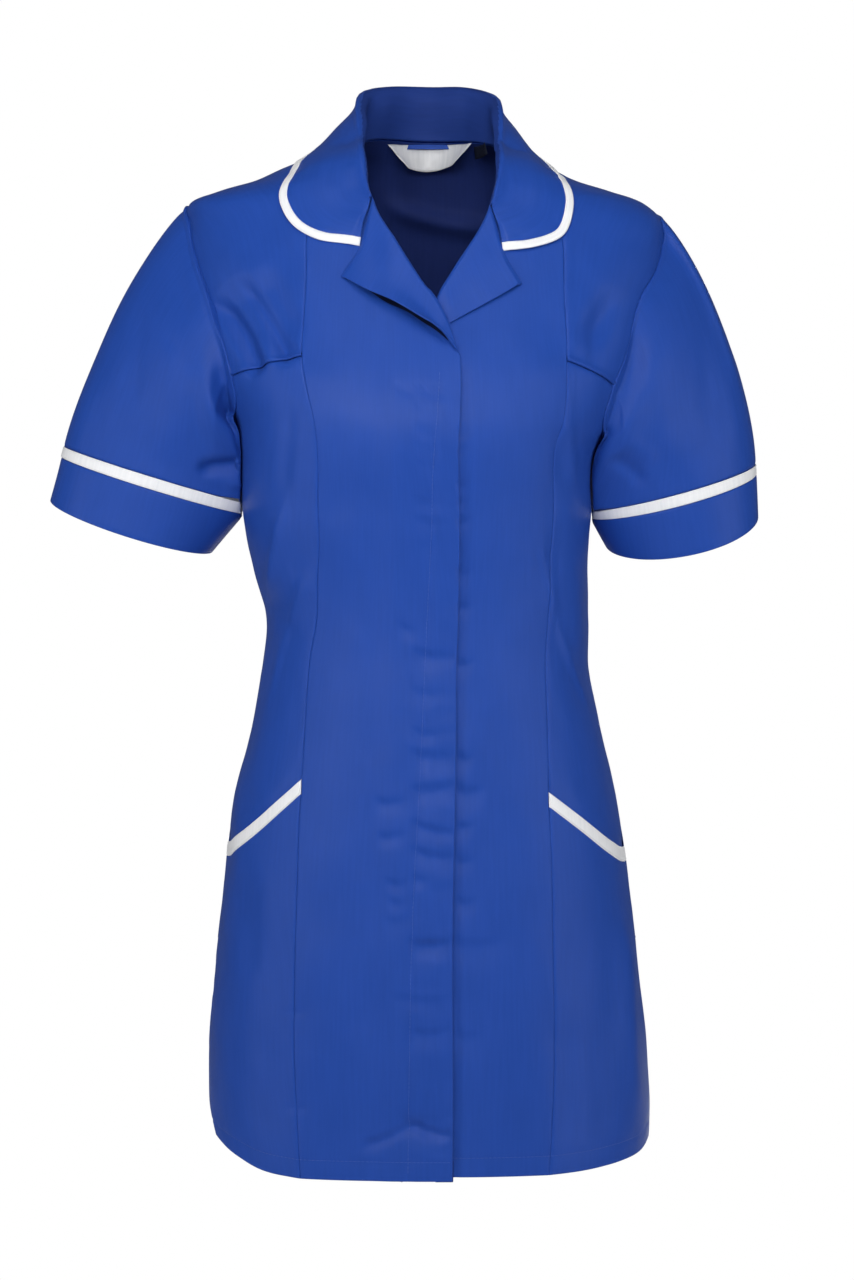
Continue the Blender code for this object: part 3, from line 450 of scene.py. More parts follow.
# The white band's part of the way from its top to the hem, and its own rows.
BAND_SHARE = 0.19
BAND_ROWS = (
    # share of the band, rise
    (0, 0.55),
    (0.03, 0.85),
    (0.12, 0.95),
    (0.5, 1.0),
    (0.88, 0.95),
    (0.97, 0.85),
    (1.0, 0.55),
)
SLEEVE_CLEARANCE = 3.4

# Stitch lines, measured from the edge that they follow.
HEM_STITCH, PLACKET_STITCH = 14.0, 33.5
PLACKET_STITCH_TOP, PLACKET_TOP = -188, -172
# Lines that sink into the cloth.
DIPS = {
    # distance from the edge, depth, half width
    "seam": (0, 0.3, 0.8),
    "deep seam": (0, 0.9, 1.6),
    "stitched hem": (HEM_STITCH, 0.3, 1.1),
    "stitched placket": (PLACKET_STITCH, 0.35, 1.0),
    "band": (0, 0.5, 1.2),
}
# Strips beside an edge that pressed allowances lift.
BANKS = {
    # height, width of the foot, where the strip ends, over which it runs out
    "allowance": (0.2, 1.6, 9.0, 2.2),
    "ledge": (1.3, 1.0, 4.4, 2.6),
    "cap": (0.4, 1.6, 10, 4),
}
EDGE_DIP = 1.6
EDGE_ROLL, PLACKET_ROLL = 0.75, 1.1
HEM_TURNING, CUFF_TURNING = 15.0, 26.0
# The axis of a grid that leads away from each edge, and its direction.
EDGE_ORDER = {"start": (1, 1), "end": (1, -1), "bottom": (0, 1), "top": (0, -1)}
# Where the sleeve's front falls away beside the armhole.
SLEEVE_HOLLOW = {
    # depth, distance from the armhole, how far it runs out, height where it begins
    RIGHT: (17.0, 4.0, 17.0, -142),
    LEFT: (10.0, 6.0, 24.0, -125),
}
# How far the sleeve's front is moved away from the body below the bust seam.
SLEEVE_SLOT = {RIGHT: 5.0, LEFT: 1.5}
# How high the sleeve's cap stands beside its seam.
CAP_RIDGE = {RIGHT: 1.0, LEFT: 0.4}
STITCH = {"length": 2.3, "gap": 1.0, "radius": 0.16, "rise": 0.05}

CAMERA = {"place": (-0.0008, -3.2, -0.396), "lens": 75.0, "sensor": 24.0}
FLOOR_HEIGHT = -1.05

LIGHTS = (
    # name, place, aim, size, power
    ("front", (0.0, -1.1, 0.15), (0, 0, -0.2), (0.5, 0.3), 4.15),
    ("waist", (0.0, -1.6, -0.42), (0, 0, -0.42), (0.5, 0.4), 1.6),
    ("top", (0.0, -0.9, 0.8), (0, 0, -0.2), (0.6, 0.5), 3.65),
    ("near right", (-0.7, -1.5, 0.1), (0, 0, -0.2), (0.5, 0.5), 5.4),
    ("near left", (0.7, -1.5, 0.1), (0, 0, -0.2), (0.5, 0.5), 1.6),
    ("side right", (-1.6, -0.9, -0.3), (0, 0, -0.4), (0.6, 1.2), 7.8),
    ("side left", (1.6, -0.9, -0.3), (0, 0, -0.4), (0.6, 1.2), 8.8),
    ("back", (0.6, 2.9, 0.15), (0, 0, -0.4), (1.0, 1.0), 75),
)
WORLD_FILL = 0.13

# How each kind of cloth shines: sheen weight, sheen roughness, sheen tint and specular level.
LUSTRES = {
    "blue": (0.01, 0.5, (0.75, 0.82, 1.0), 0.135),
    "dull": (0.0, 0.5, (1, 1, 1), 0.08),
    "white": (0.05, 0.5, (1, 1, 1), 0.25),
    "satin": (0.1, 0.3, (1, 1, 1), 0.6),
}
CLOTHS = {
    # name, deep colour, pale colour, roughness, lustre, relief
    "blue": ("Blue twill", (0.0138, 0.059, 0.325), (0.0162, 0.065, 0.355), 0.36, "blue", 0.3),
    # A darker blue on the inner faces of the body panels: painted shade for the inside of the garment.
    "inside": ("Blue twill, wrong side", (0.0125, 0.026, 0.132), (0.015, 0.030, 0.15), 0.6, "dull", 0.3),
    # A darker blue on the collar's stand, up to just short of the roll: painted shade, the same cloth as the
    # fall.
    "stand": ("Blue twill, collar stand", (0.0145, 0.040, 0.205), (0.0165, 0.044, 0.225), 0.6, "dull", 0.3),
    # A near-black cloth that paints the shadow in the hollow under the right lapel.
    "shade": ("Dark facing", (0.003, 0.006, 0.024), (0.004, 0.008, 0.030), 0.9, "dull", 0.3),
    "white": ("White binding", (0.80, 0.81, 0.83), (0.88, 0.88, 0.89), 0.6, "white", 0.3),
    "label": ("Label satin", (0.62, 0.63, 0.65), (0.74, 0.74, 0.75), 0.42, "satin", 0.2),
    "tag": ("Tag cloth", (0.006, 0.008, 0.018), (0.012, 0.014, 0.026), 0.6, "dull", 0.3),
}
THREADS = {
    # name, colour, roughness
    "blue thread": ("Blue thread", (0.024, 0.085, 0.40), 0.6),
    "white thread": ("White thread", (0.8, 0.8, 0.8), 0.5),
}


def step_lengths(points, axis=0):
    """The distances between neighbouring points along one axis of a line or a grid."""
    return np.linalg.norm(np.diff(points, axis=axis), axis=-1)


def runs(points, axis=0):
    """How far along its line each point lies, from the first one on this axis."""
    steps = step_lengths(points, axis)
    return np.concatenate([0 * steps.take([0], axis), np.cumsum(steps, axis=axis)], axis=axis)


def at_runs(wanted, run, values):
    """The values along a line, read off at these runs."""
    return np.stack([np.interp(wanted, run, column) for column in np.transpose(values)], axis=-1)


def unit(vectors):
    return vectors / np.maximum(np.linalg.norm(vectors, axis=-1, keepdims=True), 1e-9)


def soft_step(value):
    value = np.clip(value, 0, 1)
    return value * value * (3 - 2 * value)


def bell(value):
    return np.exp(-value ** 2)


def faced(ways, guide, part=np.s_[:]):
    """Normals, all turned over if those of this part face away from the guide."""
    return -ways if np.sum(ways[part] * guide[part]) < 0 else ways


def eased(share, start, end, leaving, arriving):
    """A cubic from start to end that leaves and arrives in these directions."""
    return (start * (2 * share**3 - 3 * share**2 + 1) + end * (3 * share**2 - 2 * share**3)
            + leaving * (share**3 - 2 * share**2 + share) + arriving * (share**3 - share**2))


def smooth_curve(points, per_span=24):
    """Closely spaced points on a smooth curve that passes through the given ones."""
    points = np.asarray(points, float)
    shares = np.linspace(0, 1, per_span + 1)[:, None]
    if len(points) == 2:
        return points[0] * (1 - shares) + points[1] * shares
    knots = np.concatenate([[0], np.cumsum(np.maximum(step_lengths(points), 1e-6))])
    slopes = np.gradient(points, knots, axis=0, edge_order=1)
    spans = [eased(shares, points[index], points[index + 1], slopes[index] * width, slopes[index + 1] * width)
             for index, width in enumerate(np.diff(knots))]
    return np.concatenate([span[:-1] for span in spans[:-1]] + spans[-1:])


def column_by_height(table, column):
    """One column of a table as a smooth function of height."""
    curve = smooth_curve([(row[0], row[column]) for row in table])
    order = np.argsort(curve[:, 0])
    return curve[order, 0], curve[order, 1]


RING = {
    "right": column_by_height(WIDTHS, 1), "left": column_by_height(WIDTHS, 2),
    "front": column_by_height(DEPTHS, 1), "back": column_by_height(DEPTHS, 2),
    "middle": column_by_height(DEPTHS, 3), "power": column_by_height(DEPTHS, 4),
}


def ring(name, height):
    """One size of the body's ring at this height."""
    return np.interp(height, *RING[name])


def ring_reach(on_right, in_front, height):
    """How far the ring reaches sideways and in depth, on these sides of its middle."""
    reach = np.where(on_right, ring("right", height), ring("left", height))
    return reach, np.where(in_front, ring("front", height), ring("back", height))


def body(places):
    """Points on the body at these (turn, height) places."""
    places = np.asarray(places, float)
    turn, height = np.radians(places[..., 0]), places[..., 1]
    across, forward = np.cos(turn), np.sin(turn)
    reach, depth = ring_reach(across < 0, forward < 0, height)
    bend = 2 / ring("power", height)
    x = reach * np.sign(across) * np.abs(across) ** bend
    y = ring("middle", height) + depth * np.sign(forward) * np.abs(forward) ** bend
    return np.stack([x, y, height], axis=-1)


def ring_shares(points):
    """How far points are across and behind the middle, as shares of their ring, and its power."""
    x, y, height = np.moveaxis(points, -1, 0)
    y = y - ring("middle", height)
    reach, depth = ring_reach(x < 0, y < 0, height)
    return x / reach, y / depth, ring("power", height)


def swell(points):
    """How far out a point is as a share of the ring at its height: 1 is on the body."""
    across, behind, power = ring_shares(points)
    return (np.abs(across) ** power + np.abs(behind) ** power) ** (1 / power)


def swell_slope(points):
    return np.stack([(swell(points + step) - swell(points - step)) / 2 for step in np.eye(3)], axis=-1)


def place_of(points):
    """The (turn, height) places of points in or near the body, seen from its middle."""
    across, behind, power = ring_shares(points)
    across, behind = (np.sign(share) * np.abs(share) ** (power / 2) for share in (across, behind))
    return np.stack([np.degrees(np.arctan2(behind, across)), points[..., 2]], axis=-1)


def clear_of_body(points, gap):
    """Move points that are closer to the body than the gap straight out to it."""
    slope = swell_slope(points)
    short = gap - (swell(points) - 1) / np.linalg.norm(slope, axis=-1)
    return points + unit(slope) * np.maximum(short, 0)[..., None]


def drawn_to_body(points, gap, reach):
    """Draw points that are within reach of the body nearly against it, as far as the gap."""
    slope = swell_slope(points)
    spare = (swell(points) - 1) / np.linalg.norm(slope, axis=-1) - gap
    moved = np.where(spare > 0, spare * (1 - soft_step(spare / reach) ** 2), 0)
    return points - unit(slope) * moved[..., None]


def on_front(x, height):
    """The (turn, height) place of a point seen from the front."""
    reach = ring("right" if x < 0 else "left", height)
    share = min(abs(x) / reach, 1.0) ** (ring("power", height) / 2)
    turn = math.degrees(math.acos(share))
    return (-180 + turn, height) if x < 0 else (-turn, height)


def seen_front(line):
    return [on_front(x, height) for x, height in line]


def seen_back(line):
    return [(-turn, height) for turn, height in seen_front(line)]


def side_seam(side, height):
    return (-180.0 if side == RIGHT else 0.0), height


def on_ridge(x):
    """The place on the shoulder seam at this distance from the middle."""
    heights, reaches = RING["right" if x < 0 else "left"]
    top = heights > SHOULDER_FOOT
    order = np.argsort(reaches[top])
    height = float(np.interp(abs(x), reaches[top][order], heights[top][order]))
    return side_seam(RIGHT if x < 0 else LEFT, height)


def trace(places, steps):
    """Places spaced evenly, by length on the body, along a smooth line."""
    dense = smooth_curve(places)
    length = runs(body(dense))
    return at_runs(np.linspace(0, length[-1], steps * FINER + 1), length, dense)


def joined(*traces):
    """Traces that follow one another, as one."""
    return np.concatenate([traces[0]] + [each[1:] for each in traces[1:]])


def rimmed(grid, bottom, top, start, end):
    """A grid with its four edges set."""
    grid[0], grid[-1] = bottom, top
    grid[:, 0], grid[:, -1] = start, end
    return grid


def doubled(grid):
    """A grid with a new row and column half way between each two."""
    rows, columns = grid.shape[:2]
    tall = np.zeros((2 * rows - 1, columns, 3))
    tall[::2] = grid
    tall[1::2] = (grid[:-1] + grid[1:]) / 2
    wide = np.zeros((2 * rows - 1, 2 * columns - 1, 3))
    wide[:, ::2] = tall
    wide[:, 1::2] = (tall[:, :-1] + tall[:, 1:]) / 2
    return wide


def relaxed(film, rounds):
    for _ in range(rounds):
        film[1:-1, 1:-1] = (film[:-2, 1:-1] + film[2:, 1:-1] + film[1:-1, :-2] + film[1:-1, 2:]) / 4
    return film


def filled(bottom, top, start, end):
    """A grid of places between four edges, each given from the start side or from the bottom up.

    The grid is stretched between its edges like a soap film, coarsely and then finer, and laid on the body.
    """
    border = body(rimmed(np.zeros((len(start), len(bottom), 2)), bottom, top, start, end))
    stride = FINER
    film = border[::stride, ::stride].copy()
    up = np.linspace(0, 1, film.shape[0])[:, None, None]
    across = np.linspace(0, 1, film.shape[1])[None, :, None]
    guess = (film[:1] * (1 - up) + film[-1:] * up + film[:, :1] * (1 - across) + film[:, -1:] * across) / 2
    film[1:-1, 1:-1] = guess[1:-1, 1:-1]
    film = relaxed(film, FILM_ROUNDS)
    while stride > 1:
        stride //= 2
        film = rimmed(doubled(film), border[0, ::stride], border[-1, ::stride],
                      border[::stride, 0], border[::stride, -1])
        film = relaxed(film, FINE_ROUNDS)
    for _ in range(LAYING_ROUNDS):
        slope = swell_slope(film)
        steepness = np.maximum(np.sum(slope * slope, axis=-1, keepdims=True), 1e-9)
        film -= slope * ((swell(film) - 1)[..., None] / steepness)
    return rimmed(place_of(film), bottom, top, start, end)


def thinned(grid, close=3):
    """Every second column, and each of those close to the sides."""
    count = grid.shape[1]
    return grid[:, [*range(close), *range(close, count - close, 2), *range(count - close, count)]]


def close_edges(grid):
    """Add rows and columns close to the edges, so that seams stay crisp."""
    for axis in (0, 1):
        grid = grid.swapaxes(0, axis)
        for flip in (1, -1):
            grid = grid[::flip]
            gap = max(float(np.mean(step_lengths(body(grid[:2])))), 1e-6)
            extra = [grid[:1] + (grid[1:2] - grid[:1]) * distance / gap
                     for distance in EDGE_ROWS if distance < gap * 0.8]
            grid = np.concatenate([grid[:1]] + extra + [grid[1:]])[::flip]
        grid = grid.swapaxes(0, axis)
    return grid


def ripple(points, length, seed, stretch):
    """A smooth random wave over space, from about -1 to 1, with waves of about this length."""
    chance = np.random.default_rng(seed)
    scaled = points / np.array(stretch)
    total = np.zeros(points.shape[:-1])
    for _ in range(RIPPLE_WAVES):
        direction = unit(chance.normal(size=3))
        wave = length * chance.uniform(0.7, 1.5)
        total += np.sin(2 * math.pi * (scaled @ direction) / wave + chance.uniform(0, 2 * math.pi))
    return total / math.sqrt(RIPPLE_WAVES)


def ruffled(points, name, side=0):
    """A ripple of the table, at its own strength. Pieces that differ by side have one for each."""
    rise, length, seed, stretch = RIPPLES[name]
    return rise * ripple(points, length, seed + side, stretch)


def crease_rise(points, table, facing_front=None, start_fade=0.3, end_fade=0.3):
    """How far a table of creases moves the cloth out. Each fades over these shares of its length."""
    if facing_front is None:
        facing_front = points[..., 1] < 0
    rise = np.zeros(points.shape[:-1])
    for side, start_x, start_z, end_x, end_z, bow, half_width, lean, height in table:
        along = np.array((end_x - start_x, end_z - start_z), float)
        length = np.linalg.norm(along)
        along /= length
        offset = points[..., (0, 2)] - np.array((start_x, start_z))
        run = offset @ along / length
        within = np.clip(run, 0, 1)
        aside = offset @ np.array((-along[1], along[0])) - 4 * bow * within * (1 - within)
        width = np.where(aside > 0, half_width * (1 + lean), half_width * (1 - lean))
        fade = soft_step(run / start_fade) * soft_step((1 - run) / end_fade)
        facing = facing_front if side == "front" else ~facing_front
        rise += np.where(facing, height * fade * bell(aside / width), 0)
    return rise


def fold_rise(points):
    return crease_rise(points, FOLDS, None, FOLD_FADE, FOLD_FADE)


def pull_rise(points):
    """The short dents of the placket, which sag a little between their ends."""
    rise = np.zeros(points.shape[:-1])
    x, height = points[..., 0], points[..., 2]
    for start, end, level, fall, half_height, depth in PULLS:
        run = (x - start) / (end - start)
        window = soft_step((run + 0.15) / 0.35) * soft_step((1.3 - run) / 0.8)
        sag = 1.8 * np.sin(math.pi * np.clip(run, 0, 1)) + 0.5 * np.sin(0.6 * x + 1.7 * level)
        aside = (height + sag - (level - fall * (run - 0.5))) / half_height
        aside = aside / np.where(aside > 0, PULL_WALLS["above"], PULL_WALLS["below"])
        rise += PULL_STRENGTH * depth * window * bell(aside)
    return np.where(points[..., 1] < 0, rise, 0)


def skin(places, out=0.0):
    """Points on the outside of the folded cloth at (turn, height) places, and their normals."""
    points = body(places)
    normal = unit(swell_slope(points))
    uneven = sum(ruffled(points, name) for name in ("body, broad", "body, middling", "body, fine"))
    rise = fold_rise(points) + crease_rise(points, CREASES)
    rise += crease_rise(points, CHEST_TROUGHS, end_fade=CHEST_END_FADE) + pull_rise(points)
    rise += uneven * soft_step((-points[..., 2] - 20) / 60)
    return points + normal * (rise + out)[..., None], normal


def edge_distances(points):
    """How far each point of a grid is from its start, end, bottom and top edges, along the cloth."""
    across, up = runs(points, 1), runs(points, 0)
    return {"start": across, "end": across[:, -1:] - across, "bottom": up, "top": up[-1:] - up}


def dip(away, distance, depth, width):
    """A sunk line at a distance inside an edge."""
    return -depth * bell((away - distance) / width)


def bank(away, height, foot, end, run_out):
    """A raised strip beside an edge, from its foot to its end."""
    return height * soft_step(away / foot) * soft_step((end - away) / run_out)


def sewn_rise(points, edges):
    """How seams, pressed allowances and stitch lines move the cloth near a panel's edges."""
    distances = edge_distances(points)
    rise = np.zeros(points.shape[:-1])
    for edge, kind in [(edge, kind) for edge, kinds in edges.items() for kind in kinds]:
        away = distances[edge]
        if kind in DIPS:
            rise += dip(away, *DIPS[kind])
        if kind in BANKS:
            rise += bank(away, *BANKS[kind])
        if kind == "seam":
            rise += ruffled(points, "seam") * np.exp(-away / 7) * soft_step(away / 2)
        elif kind == "stitched hem":
            rise += ruffled(points, "hem") * bell((away - HEM_STITCH) / 8)
        elif kind == "stitched placket":
            rise += ruffled(points, "placket") * soft_step((PLACKET_STITCH + 6 - away) / 8)
            rise += 0.5 * soft_step((PLACKET_STITCH - 2 - away) / 6)
    return rise


def from_edge(edge, *grids):
    """The grids, turned so that their first row is this edge."""
    axis, flip = EDGE_ORDER[edge]
    return [grid.swapaxes(0, axis)[::flip] for grid in grids]


def turned_under(points, normals, edge, radius, depth, fade=1.0):
    """Roll a grid's edge under and back inside by a depth, as a pressed hem. The fade is along the edge."""
    path, ways = from_edge(edge, points, normals)
    last, normal = path[0], ways[0]
    out = last - path[2]
    out = unit(out - normal * np.sum(out * normal, axis=-1, keepdims=True))
    radius, depth = radius * np.atleast_1d(fade)[:, None], depth * np.atleast_1d(fade)
    away = runs(path)
    added = [last + out * radius * math.sin(angle) - normal * radius * (1 - math.cos(angle))
             for angle in np.radians((36, 72, 108, 144, 180))]
    for back in (0.12, 0.4, 0.7, 1.0):
        reach = np.broadcast_to(depth * back, away.shape[1:])
        under = [at_runs(reach[column], away[:, column], path[:, column]) for column in range(path.shape[1])]
        added.append(np.array(under) - normal * 2 * radius)
    path = np.concatenate([np.array(added[::-1]), path])
    ways = np.concatenate([np.repeat(normal[None], len(added), axis=0), ways])
    axis, flip = EDGE_ORDER[edge]
    return path[::flip].swapaxes(0, axis), ways[::flip].swapaxes(0, axis)


def woven_places(points):
    """Where each point lies on the flat cloth, in metres, for the weave."""
    middle = points.shape[1] // 2
    run = runs(points, 1)
    run = run - run[:, middle:middle + 1]
    return np.stack([run, runs(points[:, middle])[:, None] + 0 * run], axis=-1) * METRES


def grid_normals(points):
    return unit(np.cross(np.gradient(points, axis=1), np.gradient(points, axis=0)))


def made_mesh(name, form):
    mesh = bpy.data.meshes.new(name)
    form.to_mesh(mesh)
    form.free()
    return mesh


def placed(name, data):
    made = bpy.data.objects.new(name, data)
    bpy.context.scene.collection.objects.link(made)
    return made


def cloth(node, points, normals, finish, wall, replaces=True,
          centred=False, welded=False, inside=None, facing=None):
    """A sheet of cloth over a grid of points, with its wall under the side that the normals leave.

    Inside is the cloth of its hidden side. Facing is a second cloth and the faces it covers. Both paint
    shade.
    """
    name = f"cloth_{node}"
    rows, columns = points.shape[:2]
    form = bmesh.new()
    bmesh.ops.create_grid(form, x_segments=columns - 1, y_segments=rows - 1, size=1.0)
    mesh = made_mesh(name, form)
    mesh.vertices.foreach_set("co", (points.reshape(-1, 3) * METRES).astype(np.float32).ravel())
    layer = mesh.uv_layers.new(name="Weave")
    corners = np.zeros(len(mesh.loops), np.int32)
    mesh.loops.foreach_get("vertex_index", corners)
    layer.data.foreach_set("uv", woven_places(points).reshape(-1, 2)[corners].astype(np.float32).ravel())
    if facing:
        first = corners.reshape(-1, 4).min(axis=1)
        covered = facing[1][first // columns, first % columns]
        mesh.polygons.foreach_set("material_index", covered.astype(np.int32))
    form = bmesh.new()
    form.from_mesh(mesh)
    if np.sum(grid_normals(points) * normals) < 0:
        bmesh.ops.reverse_faces(form, faces=form.faces)
    if welded:
        bmesh.ops.remove_doubles(form, verts=form.verts, dist=0.00002)
    form.to_mesh(mesh)
    form.free()
    mesh.materials.append(finish)
    mesh.shade_smooth()
    piece = placed(name, mesh)
    thick = piece.modifiers.new("Cloth", "SOLIDIFY")
    thick.thickness = wall * METRES
    thick.offset = 0.0 if centred else -1.0
    thick.use_rim = True
    if facing:
        mesh.materials.append(facing[0])
    if inside:
        mesh.materials.append(inside)
        thick.material_offset = 1
    declared(piece, points, node if replaces else None)


def declared(piece, points, node):
    """Attach a sheet to the root and hide the solid it stands for. Its flat size is worked out but unused."""
    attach(piece, "root")
    if node:
        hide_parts(node)
    width = float(np.max(runs(points, 1))) * METRES
    length = float(np.max(runs(points, 0))) * METRES


STITCH_RUNS = {"blue": [], "white": []}


def sew(line, ways, thread="blue"):
    """Remember a line of stitching, to be made with the others of its thread."""
    STITCH_RUNS[thread].append((line, ways))


def line_inside(points, normals, edge, distance):
    """The line on a grid at a distance inside one of its edges, and the normals along it."""
    away, points, normals = from_edge(edge, edge_distances(points)[edge], points, normals)
    line, ways = ([at_runs(distance, away[:, column], grid[:, column]) for column in range(grid.shape[1])]
                  for grid in (points, normals))
    return np.array(line), unit(np.array(ways))


def stitching(thread, finish):
    """Every stitch of one thread, as short five-sided lengths that sit in the cloth."""
    form = bmesh.new()
    step = STITCH["length"] + STITCH["gap"]
    for line, ways in STITCH_RUNS[thread]:
        length = runs(line)
        for middle in np.arange(step / 2, length[-1], step):
            start, end = (Vector(at_runs(middle + reach, length, line))
                          for reach in (-STITCH["length"] / 2, STITCH["length"] / 2))
            way = Vector(at_runs(middle, length, ways)).normalized()
            place = Matrix.Translation(((start + end) / 2 + way * STITCH["rise"]) * METRES)
            turn = (end - start).normalized().to_track_quat("Z", "Y").to_matrix().to_4x4()
            bmesh.ops.create_cone(form, cap_ends=True, segments=5, radius1=STITCH["radius"] * METRES,
                                  radius2=STITCH["radius"] * METRES, depth=STITCH["length"] * METRES,
                                  matrix=place @ turn)
    mesh = made_mesh(f"stitches_{thread}", form)
    mesh.materials.append(finish)
    mesh.shade_smooth()
    piece = placed(mesh.name, mesh)
    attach(piece, "root")


def shoulder_to_dart(side):
    seam = PRINCESS_TOP[side] + PRINCESS_SEAM[side][:2]
    return trace([on_ridge(PRINCESS_AT_SHOULDER[side])] + seen_front(seam), 8)


def dart_to_mouth(side):
    whole = smooth_curve(seen_front(PRINCESS_SEAM[side]))
    below_dart = whole[whole[:, 1] <= PRINCESS_SEAM[side][1][1] + 0.01]
    return trace(below_dart[::6], 13)


def mouth_to_hem(side):
    x, height = PRINCESS_SEAM[side][-1]
    return trace(seen_front([(x, height - BINDING_DROP), (x, HEM[side])]), 12)


def princess_seam(side):
    x, height = PRINCESS_SEAM[side][-1]
    at_binding = trace(seen_front([(x, height), (x, height - BINDING_DROP)]), 1)
    return joined(shoulder_to_dart(side), dart_to_mouth(side), at_binding, mouth_to_hem(side))


def armhole_front(side):
    return trace([on_ridge(ARMHOLE_TOP[side])] + seen_front(ARMHOLE_FRONT[side]), 8)


def armhole_low(side):
    low = seen_front([ARMHOLE_FRONT[side][-1], ARMHOLE_LOW[side]])
    return trace(low + [side_seam(side, ARMPIT[side])], 4)


def armhole_back(side):
    turn, height = BACK_TURN[side], on_ridge(ARMHOLE_TOP[side])[1]
    return trace([(turn, height)] + seen_back(ARMHOLE_BACK[side]) + [(turn, ARMPIT[side])], 11)


def mouth_line(side, drop):
    """A line along the pocket's mouth, this far below it."""
    inner, outer = np.array(POCKET_MOUTH[side], float)
    line = [inner + (outer - inner) * share - (0, drop) for share in (0, 0.2, 0.4, 0.6, 0.75, 0.87, 0.95)]
    return trace(seen_front(line) + [side_seam(side, outer[1] - drop)], 4)


def down_side(side, top, foot, steps):
    return trace([side_seam(side, top), side_seam(side, foot)], steps)


def armpit_to_mouth(side):
    return down_side(side, ARMPIT[side], POCKET_MOUTH[side][1][1], 13)


def mouth_to_vent(side):
    return down_side(side, POCKET_MOUTH[side][1][1] - BINDING_DROP, VENT_TOP, 3)


def overlap_lift(places):
    """The right front rides up over the left one where they overlap."""
    return OVERLAP_LIFT * soft_step((body(places)[..., 0] - OVERLAP_START) / OVERLAP_RUN)


def ridge_line(first, last, steps):
    """Along the shoulder seam, between two distances from the middle."""
    return trace([on_ridge(x) for x in np.linspace(first, last, 3)], steps)


def dart_line(side):
    return trace(seen_front([PRINCESS_SEAM[side][1], ARMHOLE_FRONT[side][-1]]), 5)


def sewn_panel(node, grid, edges, cloths, lift=None, turned=()):
    """A panel of the body: its cloth, sunk and lifted along its seams and rolled under at its free edges."""
    grid = close_edges(grid)
    points, normals = skin(grid, SOLID_WALL + (lift(grid) if lift else 0.0))
    points = points + normals * sewn_rise(points, edges)[..., None]
    flat, flat_ways = points, normals
    for edge, radius, depth, top in turned:
        heights = from_edge(edge, points)[0][0, :, 2]
        fade = np.maximum(soft_step((top - heights) / 6), 0.04)
        points, normals = turned_under(points, normals, edge, radius, depth, fade)
    points[..., 2] = np.maximum(points[..., 2], flat[..., 2].min() - 1.0)
    # The inner faces get the darker blue, painted shade inside the garment.
    cloth(node, points, normals, cloths["blue"], CLOTH, inside=cloths["inside"])
    if "stitched hem" in edges.get("bottom", ()):
        sew(*line_inside(flat, flat_ways, "bottom", HEM_STITCH))
    return flat, flat_ways


def past_placket(points):
    """How far each point lies to the wearer's left of the right front's free edge."""
    edge = smooth_curve(FRONT_EDGE[RIGHT])[::-1]
    return points[..., 0] - np.interp(points[..., 2], edge[:, 1], edge[:, 0])


def front_panel(side, cloths):
    seam = princess_seam(side)[::-1]
    free_edge = trace(seen_front(FRONT_EDGE[side])[::-1], (len(seam) - 1) // FINER)
    neck = trace([on_ridge(NECK_POINT[side])] + seen_front(NECKLINE_FRONT[side]), 4)
    fold = trace(seen_front(NECKLINE_FRONT[side][-1:] + BREAK_LINE[side]), 6)
    top = joined(ridge_line(PRINCESS_AT_SHOULDER[side], NECK_POINT[side], 2), neck, fold)
    foot = [(line[side][-1][0], HEM[side]) for line in (PRINCESS_SEAM, FRONT_EDGE)]
    hem = trace(seen_front(foot), (len(top) - 1) // FINER)
    edges = {"start": ("seam",), "top": ("seam",), "bottom": ("stitched hem",)}
    if side == RIGHT:
        edges["end"] = ("stitched placket",)

    def lifted(places):
        points = body(places)
        rise = crease_rise(points, LAPEL_HOLLOW)
        if side == RIGHT:
            return rise + overlap_lift(places)
        started = soft_step((PLACKET_STITCH_TOP + 8 - points[..., 2]) / 20)
        return rise + started * dip(past_placket(points), 2.5, EDGE_DIP, 4.0)

    turned = (("bottom", EDGE_ROLL, HEM_TURNING, 0), ("end", PLACKET_ROLL, 12.0, PLACKET_TOP))
    grid = thinned(filled(hem, top, seam, free_edge))
    points, ways = sewn_panel(f"front_{SIDE_NAME[side]}", grid, edges, cloths, lifted, turned)
    if side == RIGHT:
        line, along = line_inside(points, ways, "end", PLACKET_STITCH)
        shown = (line[:, 2] < PLACKET_STITCH_TOP) & (line[:, 2] > HEM[side] + 4)
        sew(line[shown], along[shown])


def shoulder_front(side, cloths):
    ridge = ridge_line(PRINCESS_AT_SHOULDER[side], ARMHOLE_TOP[side], 5)
    grid = filled(dart_line(side), ridge, shoulder_to_dart(side)[::-1], armhole_front(side)[::-1])
    edges = {"start": ("seam", "allowance"), "end": ("seam",), "top": ("seam",), "bottom": ("seam", "ledge")}
    sewn_panel(f"shoulder_front_{SIDE_NAME[side]}", grid, edges, cloths)


